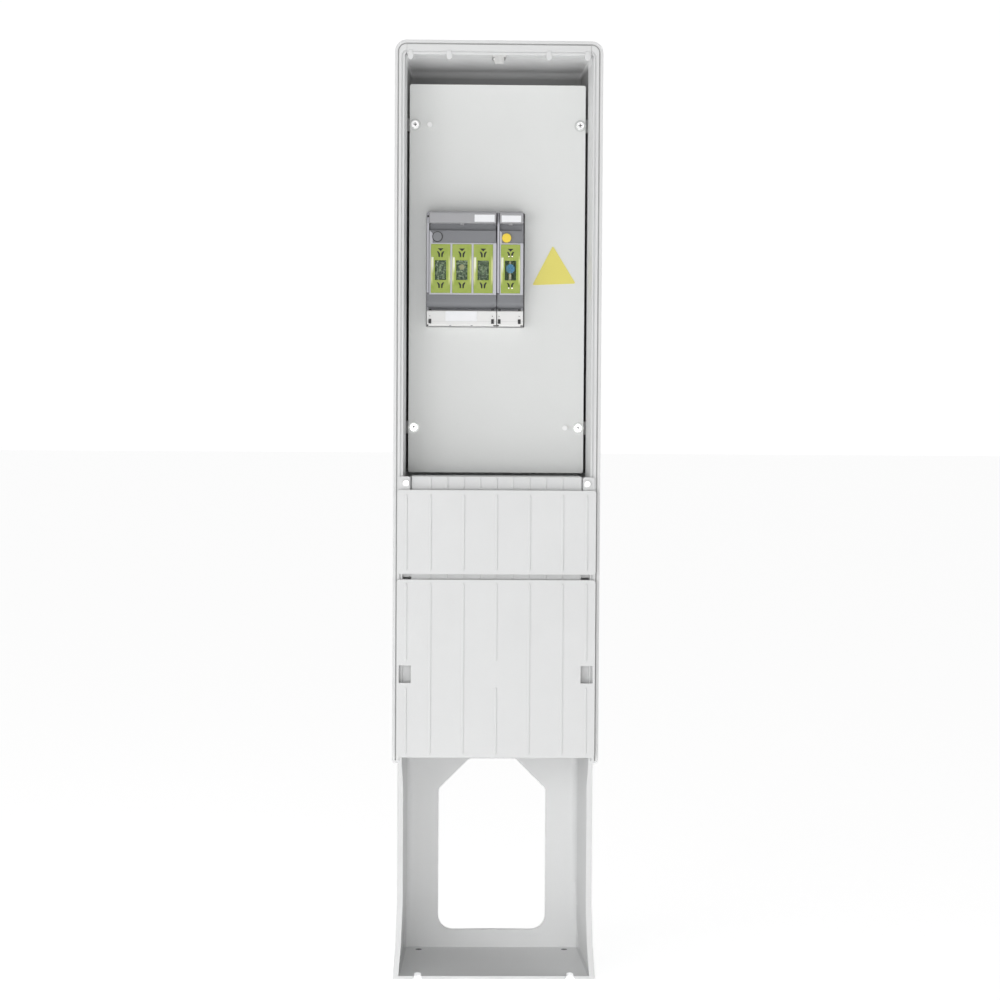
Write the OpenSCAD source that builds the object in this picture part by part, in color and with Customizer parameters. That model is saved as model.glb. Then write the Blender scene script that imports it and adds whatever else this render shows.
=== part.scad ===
// Service connection pillar for a street or garden supply point.
// A one-piece moulded body stands on its foot, with two lift-off cable covers low down,
// a touch-proof panel above them, and behind it a three-pole fuse switch and a neutral
// disconnector on a steel plate. The outer door is lifted off.
// Millimetres, +Z up, front towards -Y, origin on the ground under the middle.

/* [Pillar body] */
// Width across the front lip
pillar_w = 320; // [300:1:360]
// Height over the front lip
pillar_h = 1453; // [1400:1:1600]
// Depth from the lip's face to the back
pillar_d = 205; // [195:1:260]
// How far the covers' ribs stand in front of the lip
cover_stand = 10; // [8:0.5:14]
// Side wall
wall_t = 6.5; // [5:0.5:8]
// Back wall
back_t = 6; // [4:0.5:10]
// Roof
roof_t = 7; // [5:0.5:10]
// Floor of the foot
floor_t = 5; // [4:0.5:8]
// Mould draft of the side walls, degrees
draft = 2.1; // [0.5:0.1:2.4]
// Fall of the roof to the back
roof_fall = 6; // [0:0.5:10]
// Outer corner between back and sides
back_r = 15; // [12:1:25]

/* [Front lip] */
// How far the lip stands outside the side walls
lip_over = 8.5; // [6:0.5:10]
// How far the lip stands above the roof
lip_rise = 9; // [7:0.5:14]
// Depth of the lip
lip_depth = 16; // [14:1:24]
// Width of the outer bead of the lip
lip_face = 4.5; // [3:0.5:6]
// Width of the door groove
groove_w = 1.8; // [1.2:0.1:2.4]
// Depth of the door groove
groove_d = 9; // [5:0.5:11]
// Width of the inner bead
bead_w = 2.5; // [1.5:0.5:3]
// Width of the shallow inner groove
inner_groove_w = 2; // [1:0.5:2.5]
// Outer corner of the lip
lip_r = 18; // [14:1:26]
// Height of the lip's lower end
lip_foot_z = 338; // [300:1:380]

/* [Foot] */
// How far the foot spreads on each side
foot_spread = 6.5; // [3:0.5:9]
// Height at which the foot begins to spread
flare_h = 116; // [90:1:150]
// Width of the wall's front edge below the lip
neck_edge = 9; // [8:0.5:12]
// Distance of the anchor holes from the outside of the side walls
anchor_in = 32.5; // [30:0.5:45]
// Radius of the anchor holes
anchor_r = 5.5; // [4:0.5:7]
// Distance of the rear anchor holes from the back wall
anchor_back = 14; // [12:1:25]
// Length of the open slots at the front
anchor_slot = 24; // [15:1:35]

/* [Cable opening in the back] */
// Width of the opening
open_w = 175; // [150:1:190]
// Height of its lower edge
open_z = 35; // [25:1:60]
// Height of the opening
open_h = 281.5; // [240:0.5:290]
// Slope of its upper corners
open_chamfer = 50; // [30:1:60]
// Radius of its lower corners
open_r = 24; // [10:1:30]

/* [Roof rail and lock keeper] */
// Gap between the rail's ends and the side walls
rail_end_gap = 3.5; // [2:0.5:6]
// Thickness of the rail
rail_t = 5; // [4:0.5:6]
// Depth of the rail's foot under the roof
rail_foot = 34; // [28:1:50]
// Radius of the door hooks under the rail
nub_r = 4.3; // [3:0.1:5]
// How far the door hooks hang below the rail
nub_drop = 7.3; // [5.5:0.1:8]
// Distance of the outer hooks from the rail's ends
nub_end = 5.5; // [5:0.5:12]
// Distance between an outer and an inner hook
nub_step = 59.5; // [45:0.5:70]
// Width of the lock keeper
keeper_w = 21; // [18:1:30]
// Drop of the keeper's tab
keeper_drop = 13; // [10:1:20]

/* [Touch-proof panel] */
// Depth of the panel's face behind the lip
panel_depth = 80; // [70:1:90]
// Thickness of the panel
panel_t = 4; // [3:0.5:5]
// Gap between the panel and the side walls
panel_gap = 4; // [3:0.5:6]
// Distance of the panel's upper edge below the top of the lip
panel_drop = 57; // [45:1:80]
// Gap between the panel and the shelf below it
panel_foot_gap = 4.5; // [3:0.5:8]
// Distance of the screws from the panel's side edges
panel_screw_in = 8.5; // [8:0.5:14]
// Distance of the upper screws from the panel's upper edge
panel_screw_top = 63; // [30:1:80]
// Distance of the lower screws from the panel's lower edge
panel_screw_foot = 71; // [30:1:80]
// Radius of the panel screws' shanks
panel_screw_r = 2.5; // [2:0.1:3]
// Distance between a sealing stud and its screw
stud_step = 23; // [18:1:30]

/* [Cable covers] */
// Gap between the lip's lower end and the lower cover's edge
cover_foot = 10; // [6:1:20]
// Height of the lower cover
lower_cover_h = 276; // [240:1:290]
// Height of the upper cover
upper_cover_h = 130; // [110:1:150]
// Gap between the two covers
cover_gap = 8.5; // [6:0.5:12]
// Gap between a cover's side and the middle of the door groove
cover_side = 1; // [0.5:0.1:2]
// Wall of the covers
cover_t = 3.5; // [3:0.5:4]
// Height of the ribs on the covers
rib_h = 1; // [0.5:0.1:1.5]
// Width of the ribs on the covers
rib_w = 3; // [2:0.5:4]
// Distance between ribs
rib_pitch = 51; // [44:1:52]
// Distance of the outermost ribs from the cover's side
rib_in = 14.2; // [12:0.1:16]
// Height of a cover's tongue
tongue_h = 20.5; // [16:0.5:24]
// Gap between the tongue's ends and the side walls
tongue_end_gap = 13.5; // [13:0.5:16]
// How far the tongue lies behind the lip's face
tongue_back = 3; // [2:0.5:5]
// Width of the slot between tongue and ear
ear_slot = 2.5; // [2:0.5:4]
// Distance of the ear screws from the side walls
ear_screw_in = 5; // [4.5:0.5:6]
// Height of the side windows in the lower cover
window_h = 27; // [20:1:32]
// Width of the side windows
window_w = 18.5; // [14:0.5:19]
// Height of the side windows above the lower cover's edge
window_z = 116; // [100:1:140]

/* [Mounting plate] */
// Thickness of the plate
plate_t = 3; // [2:0.5:4]
// Gap between the plate and the side walls
plate_gap = 22.5; // [20:0.5:24]
// How far the plate reaches past the switches, above and below
plate_over = 32; // [30:1:45]
// Distance of the posts from the plate's edges
post_in = 14; // [12:1:18]
// Radius of the posts' studs
post_r = 4; // [3:0.5:5]
// Radius of the posts' hexagon
post_hex = 7.5; // [7:0.5:9]
// Height of the bosses on the back wall
boss_h = 8; // [6:1:12]

/* [Cable rail and clamps] */
// Height of the rail above the lip's lower end
cable_rail_z = 102; // [90:1:110]
// Height of the rail's section
c_rail_h = 30; // [26:1:36]
// Depth of the rail's section
c_rail_d = 15; // [12:1:20]
// Sheet of the rail
c_rail_t = 2; // [1.5:0.5:2.5]
// Slot of the rail
c_rail_slot = 14; // [13:1:18]
// Depth of the rail's face behind the lip
c_rail_depth = 120; // [115:1:125]
// Distance of each cable clamp from the middle
clamp_x = 55; // [50:1:65]
// Radius of the cable that a clamp holds
cable_r = 18; // [12:0.5:20]
// Width of a clamp block
clamp_w = 76; // [72:1:84]
// Depth of a pair of clamp blocks
clamp_d = 50; // [48:1:60]
// Height of a clamp block
clamp_h = 26; // [20:1:30]
// Radius of the clamp bolts
clamp_bolt_r = 3; // [2.5:0.5:4]

/* [Fuse switches] */
// Distance of the switches' upper edge below the panel's upper edge
switch_drop = 201; // [180:1:230]
// Height of a switch
switch_h = 178; // [174:1:184]
// Depth of a switch base behind the panel's face
switch_back = 39.5; // [39:0.5:44]
// Distance between poles
pole_pitch = 33.3; // [32.5:0.1:34]
// Left edge of the three-pole switch, from the middle
switch3_left = 110; // [109:0.5:112]
// Gap between the two switches
switch_gap = 0.6; // [0.4:0.1:1]
// Width of the three-pole base outside its poles, both sides together
base3_over = 9.5; // [9:0.5:10]
// Width of the one-pole base outside its pole, both sides together
base1_over = 8; // [7.5:0.5:9]
// Thickness of the fin of a base beside the lid
fin_t = 3; // [2:0.5:3.5]
// Gap beside a lid
lid_gap = 0.5; // [0.4:0.1:0.8]
// Gap beside the grip and the band under it, on the right
grip_side = 1.8; // [1:0.1:2.5]
// Height of the hinge above the switch's lower edge
hinge_up = 38; // [37:0.5:39]
// Distance of the hinge in front of the panel
hinge_front = 12.5; // [12.2:0.1:13]
// Radius of the lid's hinge barrel
barrel_r = 10; // [9:0.1:10]
// Radius of the hinge pin
pin_r = 2; // [1.5:0.1:2.5]
// Thickness of the hinge cheeks
cheek_t = 2.5; // [2:0.5:4]
// Distance of the lid's face in front of the hinge
lid_front = 15; // [14:0.5:16]
// Wall of the lid
lid_t = 3; // [2.5:0.5:3.5]
// Play between the lid and the base
lid_play = 0.4; // [0.3:0.05:0.5]
// Wall of a base between its poles
pole_wall = 6.3; // [5:0.1:7]
// Depth of the floor under the poles
base_floor = 11; // [9:0.5:12]

/* [Lid, grip and windows] */
// Height of the grip
grip_h = 18.5; // [17:0.5:22]
// Reach of the grip in front of the lid
grip_reach = 15; // [12:0.5:20]
// Wall of the grip
grip_t = 4.5; // [3.5:0.5:5]
// Gap between the grip and the band below it
grip_gap = 10.5; // [6:0.5:11]
// Height of a window
pane_h = 76; // [70:0.5:77]
// Width of a window
pane_w = 30; // [27:0.5:31]
// Thickness of a window
pane_t = 3; // [2.5:0.5:4]
// Depth of the recess under the grip
grip_recess = 8; // [6:0.5:10]
// Thickness of the frame on the lid
frame_t = 1; // [0.6:0.1:1.5]
// Radius of the lock button
button_r = 7.1; // [6:0.1:7.4]
// Travel of the lock button
button_travel = 3; // [2:0.5:3]
// Height of the lock button above the windows
button_up = 11.5; // [10.5:0.5:12.5]
// Three-pole lock button's distance from the left edge of its lid
button3_in = 12.8; // [12:0.1:14]
// One-pole lock button's distance from the left edge of its lid
button1_in = 10.8; // [10.3:0.1:12]
// How far the one-pole lock button sits lower
button1_drop = 1.5; // [0:0.1:3]

/* [Fuse links] */
// Length of a link over its blades
link_l = 78.5; // [77:0.5:79]
// Height of the link's ceramic body
link_body_h = 46; // [42:0.5:46]
// Width of the ceramic body
link_body_w = 21; // [18:0.5:22]
// Depth of the ceramic body
link_body_d = 34; // [30:0.5:34]
// Thickness of an end plate
link_end_t = 1.5; // [1:0.1:1.6]
// Thickness of a blade
blade_t = 6; // [5:0.5:6]
// Width of a blade
blade_w = 15; // [12:0.5:15]
// Play of a blade in its contact, each side
blade_play = 0.3; // [0.2:0.05:0.5]
// Thickness of a contact's cheek
jaw_t = 2; // [1.5:0.1:2.2]
// Height of a contact
jaw_h = 8.5; // [7:0.5:8.5]

/* [Hidden] */
$fn = 48;

// Colours as the photograph shows them
grey_body = [0.86, 0.87, 0.86];
grey_panel = [0.85, 0.87, 0.85];
grey_dark = [0.47, 0.47, 0.50];
grey_grip = [0.63, 0.63, 0.65];
grey_frame = [0.75, 0.74, 0.78];
steel = [0.72, 0.73, 0.75];
brass = [0.80, 0.66, 0.36];
copper = [0.78, 0.50, 0.34];
ceramic = [0.26, 0.31, 0.27];
tinted = [0.66, 0.75, 0.25, 0.6];
clear = [0.90, 0.92, 0.91, 0.5];

// Play between pieces that are screwed or set against each other
seat = 0.3;
// Play round a screw or stud in its hole
hole_play = 0.05;
// How far a cutting shape runs past the face it cuts
cut = 1;

// Body, front to back
front_y = -(pillar_d - cover_stand) / 2;
back_y = front_y + pillar_d;
back_in = back_y - back_t;
lean = tan(draft);

// Walls at the lip's face
lip_x = pillar_w / 2;
wall_out = lip_x - lip_over;
wall_in = wall_out - wall_t;
neck_in = wall_out - neck_edge;
roof_z = pillar_h - lip_rise;
ceil_z = roof_z - roof_t;
roof_slope = roof_fall / (back_in - front_y);

// Foot, which spreads in two straight steps
flare_mid = flare_h * 0.45;
foot_seam = 0.1;
spread_mid = foot_spread * 0.38;
anchor_x = wall_out - anchor_in;
neck_fade = 38;
neck_depth = 10;
mouth_spread = 2.5;
mouth_depth = 4;

// Rail under the roof
rail_w = 2 * (wall_in - rail_end_gap);
nub_out = rail_w / 2 - nub_end;
nub_in = nub_out - nub_step;
rail_foot_top = ceil_z - roof_slope * rail_foot - hole_play;
rail_z = rail_foot_top - rail_t;
rim_top = rail_z - 1;
groove_low = pillar_h - lip_face - groove_w;
rail_top = groove_low - 0.2;
bead_top = rail_t + 0.5;
keeper_t = 3;

// Panel and what holds it
panel_y = front_y + panel_depth;
panel_back = panel_y + panel_t;
panel_x = inner_x(panel_y) - panel_gap;
panel_top = pillar_h - panel_drop;
panel_screw_x = panel_x - panel_screw_in;
panel_screw_upper = panel_top - panel_screw_top;
head_r = 6;
head_t = 4;
washer_r = 9;
washer_t = 1.6;
stud_head_r = 3.9;
stud_head_t = 5;
lug_len = 26;
lug_h = 20;
lug_sink = 2;

// Covers
lower_z = lip_foot_z + cover_foot;
lower_top = lower_z + lower_cover_h;
upper_z = lower_top + cover_gap;
upper_top = upper_z + upper_cover_h;
shelf_z = upper_top + tongue_h;
panel_foot = shelf_z + panel_foot_gap;
panel_screw_lower = panel_foot + panel_screw_foot;
cover_face = front_y - cover_stand + rib_h;
cover_x = lip_x - lip_face - groove_w / 2 - cover_side;
cover_back = front_y - seat;
tongue_face = front_y + tongue_back;
tongue_x = wall_in - tongue_end_gap;
ear_in = tongue_x + ear_slot;
ear_t = 3;
ear_out = cover_x - 2;
ear_screw_x = wall_in - ear_screw_in;
ear_screw_z = upper_top + tongue_h / 2;
ear_screw_r = 2.1;
ear_head_r = 4.8;
lower_screw_x = tongue_x - 9.5;
lower_screw_z = lower_top + tongue_h - 6.5;
cover_corner = 4;
rib_out = cover_x - rib_in;
window_in = cover_x - cover_t - 0.2 - window_w;
window_low = lower_z + window_z;
window_margin = 7;

// Switches
plate_y = panel_y + switch_back;
switch_top = panel_top - switch_drop;
switch_z = switch_top - switch_h;
hinge_z = switch_z + hinge_up;
hinge_y = panel_y - hinge_front;
lid_face = hinge_y - lid_front;
lid_in = lid_face + lid_t;
lid_back = hinge_y + barrel_r;
base_front = lid_back + lid_play;
floor_y = plate_y - base_floor;
link_up = 51.5;
link_z = hinge_z + link_up;
link_face = lid_in + 6;
blade_y = link_face + link_body_d / 2 + 2.5;
link_end = link_body_h / 2;
pane_top = link_z + pane_h / 2;
grip_z = switch_top - grip_h;
band_top = grip_z - grip_gap;
bar_t = 3;
bar_y = floor_y - bar_t - 1;
cheek_r = 7;
cheek_low = 3.5;
skin_in = cheek_r + 1;
skin_fall = 58;
pole_r = (pole_pitch - pole_wall) / 2;
chamber_low = hinge_z + 7;
chamber_top = link_z + link_l / 2 + 6;
bay_low_top = hinge_z - 15;
bay_high = chamber_top + 4;
tab_h = 9;
tab_t = 6;
tab_w = 20;
terminal_h = 12;
terminal_d = 15;
terminal_w = 18;
terminal_r = 2.5;
tcover_face = hinge_y - barrel_r;
tcover_top = hinge_z - barrel_r - 3.4;
tcover_t = 2;
claw_d = 4;
claw_h = 3.2;
lid_side = 2.5;
low_slot_drop = 48.2;
lid_rib = 2;
lid_floor = 11;
lid_step = 13;
lid_top_t = 1.5;

// Mounting plate
plate_w = 2 * (inner_x(plate_y) - plate_gap);
plate_low = switch_z - plate_over;
plate_high = switch_top + plate_over;
plate_back = plate_y + plate_t;
post_x = plate_w / 2 - post_in;
boss_r = 10;
boss_y = back_in - boss_h;
nut_t = 6.5;
stud_out = 10;

// Cable rail
cable_rail_mid = lip_foot_z + cable_rail_z;
c_rail_y = front_y + c_rail_depth;
c_rail_back = c_rail_y + c_rail_d;
c_rail_x = inner_x(c_rail_back) - 1.5;
c_rail_bolt_x = c_rail_x - 12;
c_rail_bolt_l = 16;
clamp_y = c_rail_y - clamp_d / 2;
clamp_bolt_x = clamp_w / 2 - 9;
clamp_split = 1;

// Half the inner width between the side walls at a depth y
function inner_x(y) = wall_in - lean * (y - front_y);

// Half the outer width over the side walls at a depth y
function outer_x(y) = wall_out - lean * (y - front_y);

function unit(v) = v / norm(v);

// Points of the arc that rounds the corner q, between p and s
function fillet(p, q, s, r, n) =
    let (u = unit(p - q),
         v = unit(s - q),
         half = acos(u * v) / 2,
         c = q + unit(u + v) * r / sin(half),
         a = q + u * r / tan(half) - c,
         b = q + v * r / tan(half) - c,
         start = atan2(a.y, a.x),
         turn = atan2(b.y, b.x) - start,
         sweep = turn > 180 ? turn - 360 : turn < -180 ? turn + 360 : turn)
    [for (i = [0:n]) c + r * [cos(start + sweep * i / n), sin(start + sweep * i / n)]];

// An outline with each corner rounded by its own radius
function rounded(pts, radii, n = 7) =
    let (m = len(pts))
    [for (i = [0:m - 1])
        each (radii[i] == 0 ? [pts[i]]
              : fillet(pts[(i + m - 1) % m], pts[i], pts[(i + 1) % m], radii[i], n))];

function box_pts(x0, z0, x1, z1) = [[x0, z0], [x1, z0], [x1, z1], [x0, z1]];

// A flat shape drawn in X and Z, given a depth in Y from y0
module along_y(y0, depth) {
    translate([0, y0 + depth, 0]) rotate([90, 0, 0]) linear_extrude(depth) children();
}

// A flat shape drawn in Y and Z, given a width in X from x0
module along_x(x0, width) {
    translate([x0, 0, 0]) rotate([90, 0, 90]) linear_extrude(width) children();
}

module along_z(z0, height) {
    translate([0, 0, z0]) linear_extrude(height) children();
}

module block(x0, x1, y0, y1, z0, z1) {
    translate([x0, y0, z0]) cube([x1 - x0, y1 - y0, z1 - z0]);
}

// A round bar or hole along Y from y0 to y1
module rod_y(x, z, r, y0, y1) {
    translate([x, y1, z]) rotate([90, 0, 0]) cylinder(r = r, h = y1 - y0);
}

module rod_x(y, z, r, x0, x1) {
    translate([x0, y, z]) rotate([0, 90, 0]) cylinder(r = r, h = x1 - x0);
}

module both_sides() {
    children();
    mirror([1, 0, 0]) children();
}

// Outline of the body or of its hollow from above, widened by s on each side
function plan_pts(hollow, s) =
    let (y0 = hollow ? front_y - cut : front_y,
         y1 = hollow ? back_in : back_y,
         a = s + (hollow ? inner_x(y0) : outer_x(y0)),
         b = s + (hollow ? inner_x(y1) : outer_x(y1)),
         r = hollow ? back_r - back_t : back_r)
    rounded([[-a, y0], [-b, y1], [b, y1], [a, y0]], [0, r, r, 0]);

module upper_form(hollow) {
    y0 = hollow ? front_y - cut : front_y;
    y1 = hollow ? back_in : back_y;
    x = hollow ? wall_in : wall_out;
    z0 = flare_h;
    z1 = hollow ? ceil_z : roof_z;
    r = hollow ? 12 : 18;
    intersection() {
        along_z(z0, z1 - z0) polygon(plan_pts(hollow, 0));
        along_y(y0, y1 - y0)
            polygon(rounded(box_pts(-x - cut, z0, x + cut, z1), [0, 0, r, r]));
        along_x(-x, 2 * x)
            polygon(rounded([[y0, z0], [y1, z0], [y1, z1 - roof_fall], [y0, z1]], [0, 0, r, 0]));
    }
}

// Side wall of the foot, which leans in with the mould and spreads in two straight steps
module leaning_side(half, profile) {
    translate([half, front_y, 0]) rotate([0, 0, draft])
        along_y(-5 * cut, pillar_d + 10 * cut) polygon(profile);
}

module foot_form(hollow) {
    half = hollow ? wall_in : wall_out;
    z0 = hollow ? floor_t : 0;
    step_z = flare_mid + 2;
    low = foot_spread + (foot_spread - spread_mid) / flare_mid * cut;
    high = foot_seam - (spread_mid - foot_seam) / (flare_h - flare_mid) * cut;
    profile = [[-2.5 * half, -cut], [low, -cut], [spread_mid, flare_mid], [high, flare_h + cut],
               [-2.5 * half, flare_h + cut]];
    intersection() {
        union() {
            along_z(z0, step_z - z0) polygon(plan_pts(hollow, foot_spread + 0.5));
            along_z(step_z, flare_h - step_z) polygon(plan_pts(hollow, spread_mid + 0.5));
        }
        leaning_side(half, profile);
        mirror([1, 0, 0]) leaning_side(half, profile);
    }
}

// Thick front edge of the side walls below the lip
module neck_edges() {
    edge = neck_edge - 2;
    both_sides() along_y(front_y, neck_depth)
        polygon([[neck_in, lip_foot_z - neck_fade], [neck_in, flare_h],
                 [neck_in + spread_mid, flare_mid], [neck_in + foot_spread, 0],
                 [neck_in + foot_spread + edge, 0], [neck_in + spread_mid + edge, flare_mid],
                 [neck_in + edge, flare_h], [neck_in + edge, lip_foot_z + 2],
                 [wall_in, lip_foot_z + 2]]);
}

module lip() {
    along_y(front_y, lip_depth) difference() {
        polygon(rounded(box_pts(-lip_x, lip_foot_z, lip_x, pillar_h), [6, 6, lip_r, lip_r]));
        polygon(rounded(box_pts(-wall_in, lip_foot_z - cut, wall_in, rim_top), [0, 0, 8, 8]));
    }
}

// A groove that follows the lip up both sides and over the top
module lip_groove(side, top, width, depth, r) {
    low = lip_foot_z + lip_face;
    along_y(front_y - cut, depth + cut) difference() {
        polygon(rounded(box_pts(-side, low, side, top), [0, 0, r, r]));
        polygon(rounded(box_pts(width - side, low - cut, side - width, top - width),
                        [0, 0, r - width, r - width]));
    }
}

// A moulded lug from a side wall, with a hole for a screw from the front
module lug(x_in, x_hole, z, y0, len, h, r) {
    both_sides() difference() {
        block(x_in, inner_x(y0) + lug_sink, y0, y0 + len, z - h / 2, z + h / 2);
        rod_y(x_hole, z, r, y0 - cut, y0 + len - 4);
    }
}

module pillar_shell() {
    opening = box_pts(-open_w / 2, open_z, open_w / 2, open_z + open_h - open_chamfer);
    shoulder = open_w / 2 - open_chamfer;
    color(grey_body) difference() {
        union() {
            difference() {
                union() {
                    upper_form(false);
                    foot_form(false);
                    lip();
                }
                upper_form(true);
                foot_form(true);
                lip_groove(lip_x - lip_face, pillar_h - lip_face, groove_w, groove_d, lip_r - lip_face);
                lip_groove(wall_in + bead_w + inner_groove_w, rim_top + bead_top + inner_groove_w,
                           inner_groove_w, 2, 9);
                // seat of the roof rail, in the lip and under the roof
                block(-rail_w / 2 - seat, rail_w / 2 + seat, front_y - cut, front_y + rail_t + seat,
                      rim_top - cut, groove_low + 0.1);
                block(-rail_w / 2 - seat, rail_w / 2 + seat, front_y, front_y + rail_foot + seat,
                      rim_top - cut, rail_foot_top + hole_play);
            }
            neck_edges();
            lug(panel_screw_x - 9, panel_screw_x, panel_screw_upper, panel_back, lug_len, lug_h,
                panel_screw_r + hole_play);
            lug(panel_screw_x - 9, panel_screw_x, panel_screw_lower, panel_back, lug_len, lug_h,
                panel_screw_r + hole_play);
            lug(ear_in - 1, ear_screw_x, ear_screw_z, front_y, 22, tongue_h - 2, ear_screw_r + hole_play);
            lug(lower_screw_x - 10, lower_screw_x, lower_screw_z, tongue_face + cover_t, 24, 22,
                ear_screw_r + hole_play);
            lug(c_rail_bolt_x - 9, c_rail_bolt_x, cable_rail_mid, c_rail_back, 24, c_rail_h + 8,
                3 + hole_play);
            // stops behind the side windows of the lower cover
            both_sides() block(window_in - 4, wall_in + lug_sink, front_y + 4, front_y + 11,
                               window_low - window_margin, window_low + window_h + window_margin);
            for (x = [-post_x, post_x], z = [plate_low + post_in, plate_high - post_in])
                rod_y(x, z, boss_r, boss_y, back_in + lug_sink);
        }
        along_y(back_in - cut, back_t + 2 * cut)
            polygon(rounded([opening[0], opening[1], opening[2], [shoulder, open_z + open_h],
                             [-shoulder, open_z + open_h], opening[3]],
                            [open_r, open_r, 10, 10, 10, 10]));
        for (x = [-post_x, post_x], z = [plate_low + post_in, plate_high - post_in])
            rod_y(x, z, post_r + hole_play, boss_y - cut, back_in - 0.5);
        both_sides() {
            translate([anchor_x, back_in - anchor_back, -cut]) cylinder(r = anchor_r, h = floor_t + 2 * cut);
            translate([anchor_x, front_y + anchor_slot - anchor_r, -cut])
                cylinder(r = anchor_r, h = floor_t + 2 * cut);
            block(anchor_x - anchor_r, anchor_x + anchor_r, front_y - cut,
                  front_y + anchor_slot - anchor_r, -cut, floor_t + cut);
            // splayed mouth of the open slot
            along_y(front_y - cut, mouth_depth + cut)
                polygon([[anchor_x - anchor_r - mouth_spread, -cut], [anchor_x + anchor_r + mouth_spread, -cut],
                         [anchor_x + anchor_r, floor_t], [anchor_x - anchor_r, floor_t]]);
        }
    }
}

// Rail in the top of the lip that the door hangs from
module roof_rail() {
    color(grey_body) {
        difference() {
            along_x(-rail_w / 2, rail_w)
                polygon([[front_y, rail_z], [front_y + rail_foot, rail_z],
                         [front_y + rail_foot, rail_foot_top], [front_y + rail_t, rail_foot_top],
                         [front_y + rail_t, rail_top], [front_y, rail_top]]);
            block(-rail_w / 2 - cut, rail_w / 2 + cut, front_y - cut, front_y + 1,
                  rail_foot_top - 1, rail_foot_top);
            for (x = [-keeper_w / 2 + 4, keeper_w / 2 - 4])
                translate([x, front_y + rail_foot - 9, rail_z - cut]) cylinder(r = 1.55, h = rail_t);
        }
        for (x = [-nub_out, -nub_in, nub_in, nub_out]) {
            rod_y(x, rail_z - nub_drop + nub_r, nub_r, front_y - 0.6, front_y + 12);
            along_y(front_y - 0.6, 12.6)
                polygon([[x - nub_r, rail_z - nub_drop + nub_r], [x + nub_r, rail_z - nub_drop + nub_r],
                         [x + nub_r + 0.4, rail_z + 0.5], [x - nub_r - 0.4, rail_z + 0.5]]);
            block(x - nub_r + 1, x + nub_r - 1, front_y - 0.6, front_y + 1, rail_z + 0.4, rail_z + rail_t + 1.5);
        }
    }
}

// Bent steel keeper for the door lock, screwed under the rail
module lock_keeper() {
    color(steel) difference() {
        union() {
            block(-keeper_w / 2, keeper_w / 2, front_y + 2, front_y + rail_foot - 2, rail_z - keeper_t, rail_z);
            block(-keeper_w / 2 + 3.5, keeper_w / 2 - 3.5, front_y + 2, front_y + 2 + keeper_t,
                  rail_z - keeper_drop, rail_z);
        }
        for (x = [-keeper_w / 2 + 4, keeper_w / 2 - 4])
            translate([x, front_y + rail_foot - 9, rail_z - keeper_t - cut])
                cylinder(r = 1.55, h = keeper_t + 2 * cut);
    }
}

module keeper_screws() {
    color(steel) for (x = [-keeper_w / 2 + 4, keeper_w / 2 - 4])
        translate([x, front_y + rail_foot - 9, 0]) {
            translate([0, 0, rail_z - keeper_t - 2]) cylinder(r = 3, h = 2);
            translate([0, 0, rail_z - keeper_t - 0.5]) cylinder(r = 1.5, h = keeper_t + rail_t - 1.5);
        }
}

// Panel

module cover_panel() {
    x1 = switch_right() + 2.4;
    color(grey_panel) difference() {
        along_y(panel_y, panel_t) difference() {
            polygon(rounded(box_pts(-panel_x, panel_foot, panel_x, panel_top), [3, 3, 3, 3], 4));
            polygon(rounded(box_pts(-switch3_left - 0.8, switch_z - 0.8, x1, switch_top + 0.8),
                            [2, 2, 2, 2], 4));
        }
        for (x = [-panel_screw_x, panel_screw_x], z = [panel_screw_lower, panel_screw_upper])
            rod_y(x, z, panel_screw_r + hole_play, panel_y - cut, panel_back + cut);
        sealing_places() rod_y(0, 0, panel_screw_r + hole_play, panel_y - cut, panel_back + cut);
    }
}

// The two sealing studs sit beside the upper left and the lower right screw
module sealing_places() {
    translate([stud_step - panel_screw_x, 0, panel_screw_upper]) children();
    translate([panel_screw_x - stud_step + 2, 0, panel_screw_lower]) children();
}

module panel_screws() {
    head_y = panel_y - washer_t - head_t;
    color(steel) for (x = [-panel_screw_x, panel_screw_x], z = [panel_screw_lower, panel_screw_upper])
        difference() {
            union() {
                rod_y(x, z, head_r, head_y, head_y + head_t);
                rod_y(x, z, panel_screw_r, head_y + 1, panel_back + lug_len - 8);
            }
            translate([x, head_y, z]) rotate([0, 35, 0]) cube([2 * head_r + cut, 2.4, 1.6], center = true);
        }
}

module panel_washers() {
    color(grey_panel) for (x = [-panel_screw_x, panel_screw_x], z = [panel_screw_lower, panel_screw_upper])
        difference() {
            rod_y(x, z, washer_r, panel_y - washer_t, panel_y);
            rod_y(x, z, panel_screw_r + 0.2, panel_y - washer_t - cut, panel_y + cut);
        }
}

module sealing_studs() {
    color(steel) sealing_places() {
        rod_y(0, 0, stud_head_r, panel_y - stud_head_t, panel_y);
        rod_y(0, 0, panel_screw_r, panel_y - 1, panel_back + 3);
        translate([0, panel_back + 3, 0]) rotate([90, 0, 0]) cylinder(r = 5, h = 3, $fn = 6);
    }
}

// Steel plate on four posts

module mounting_plate() {
    color(steel) difference() {
        along_y(plate_y, plate_t)
            polygon(rounded(box_pts(-plate_w / 2, plate_low, plate_w / 2, plate_high), [5, 5, 5, 5], 4));
        for (x = [-post_x, post_x], z = [plate_low + post_in, plate_high - post_in])
            rod_y(x, z, post_r + hole_play, plate_y - cut, plate_back + cut);
        for (n = [1, 3]) base_screw_places(n)
            rod_y(0, 0, terminal_r + hole_play, plate_y - cut, plate_back + cut);
    }
}

module plate_posts() {
    color(steel) for (x = [-post_x, post_x], z = [plate_low + post_in, plate_high - post_in]) {
        translate([x, boss_y, z]) rotate([90, 0, 0])
            cylinder(r = post_hex, h = boss_y - plate_back, $fn = 6);
        rod_y(x, z, post_r, plate_y - stud_out, boss_y + boss_h - 1.5);
    }
}

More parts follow.
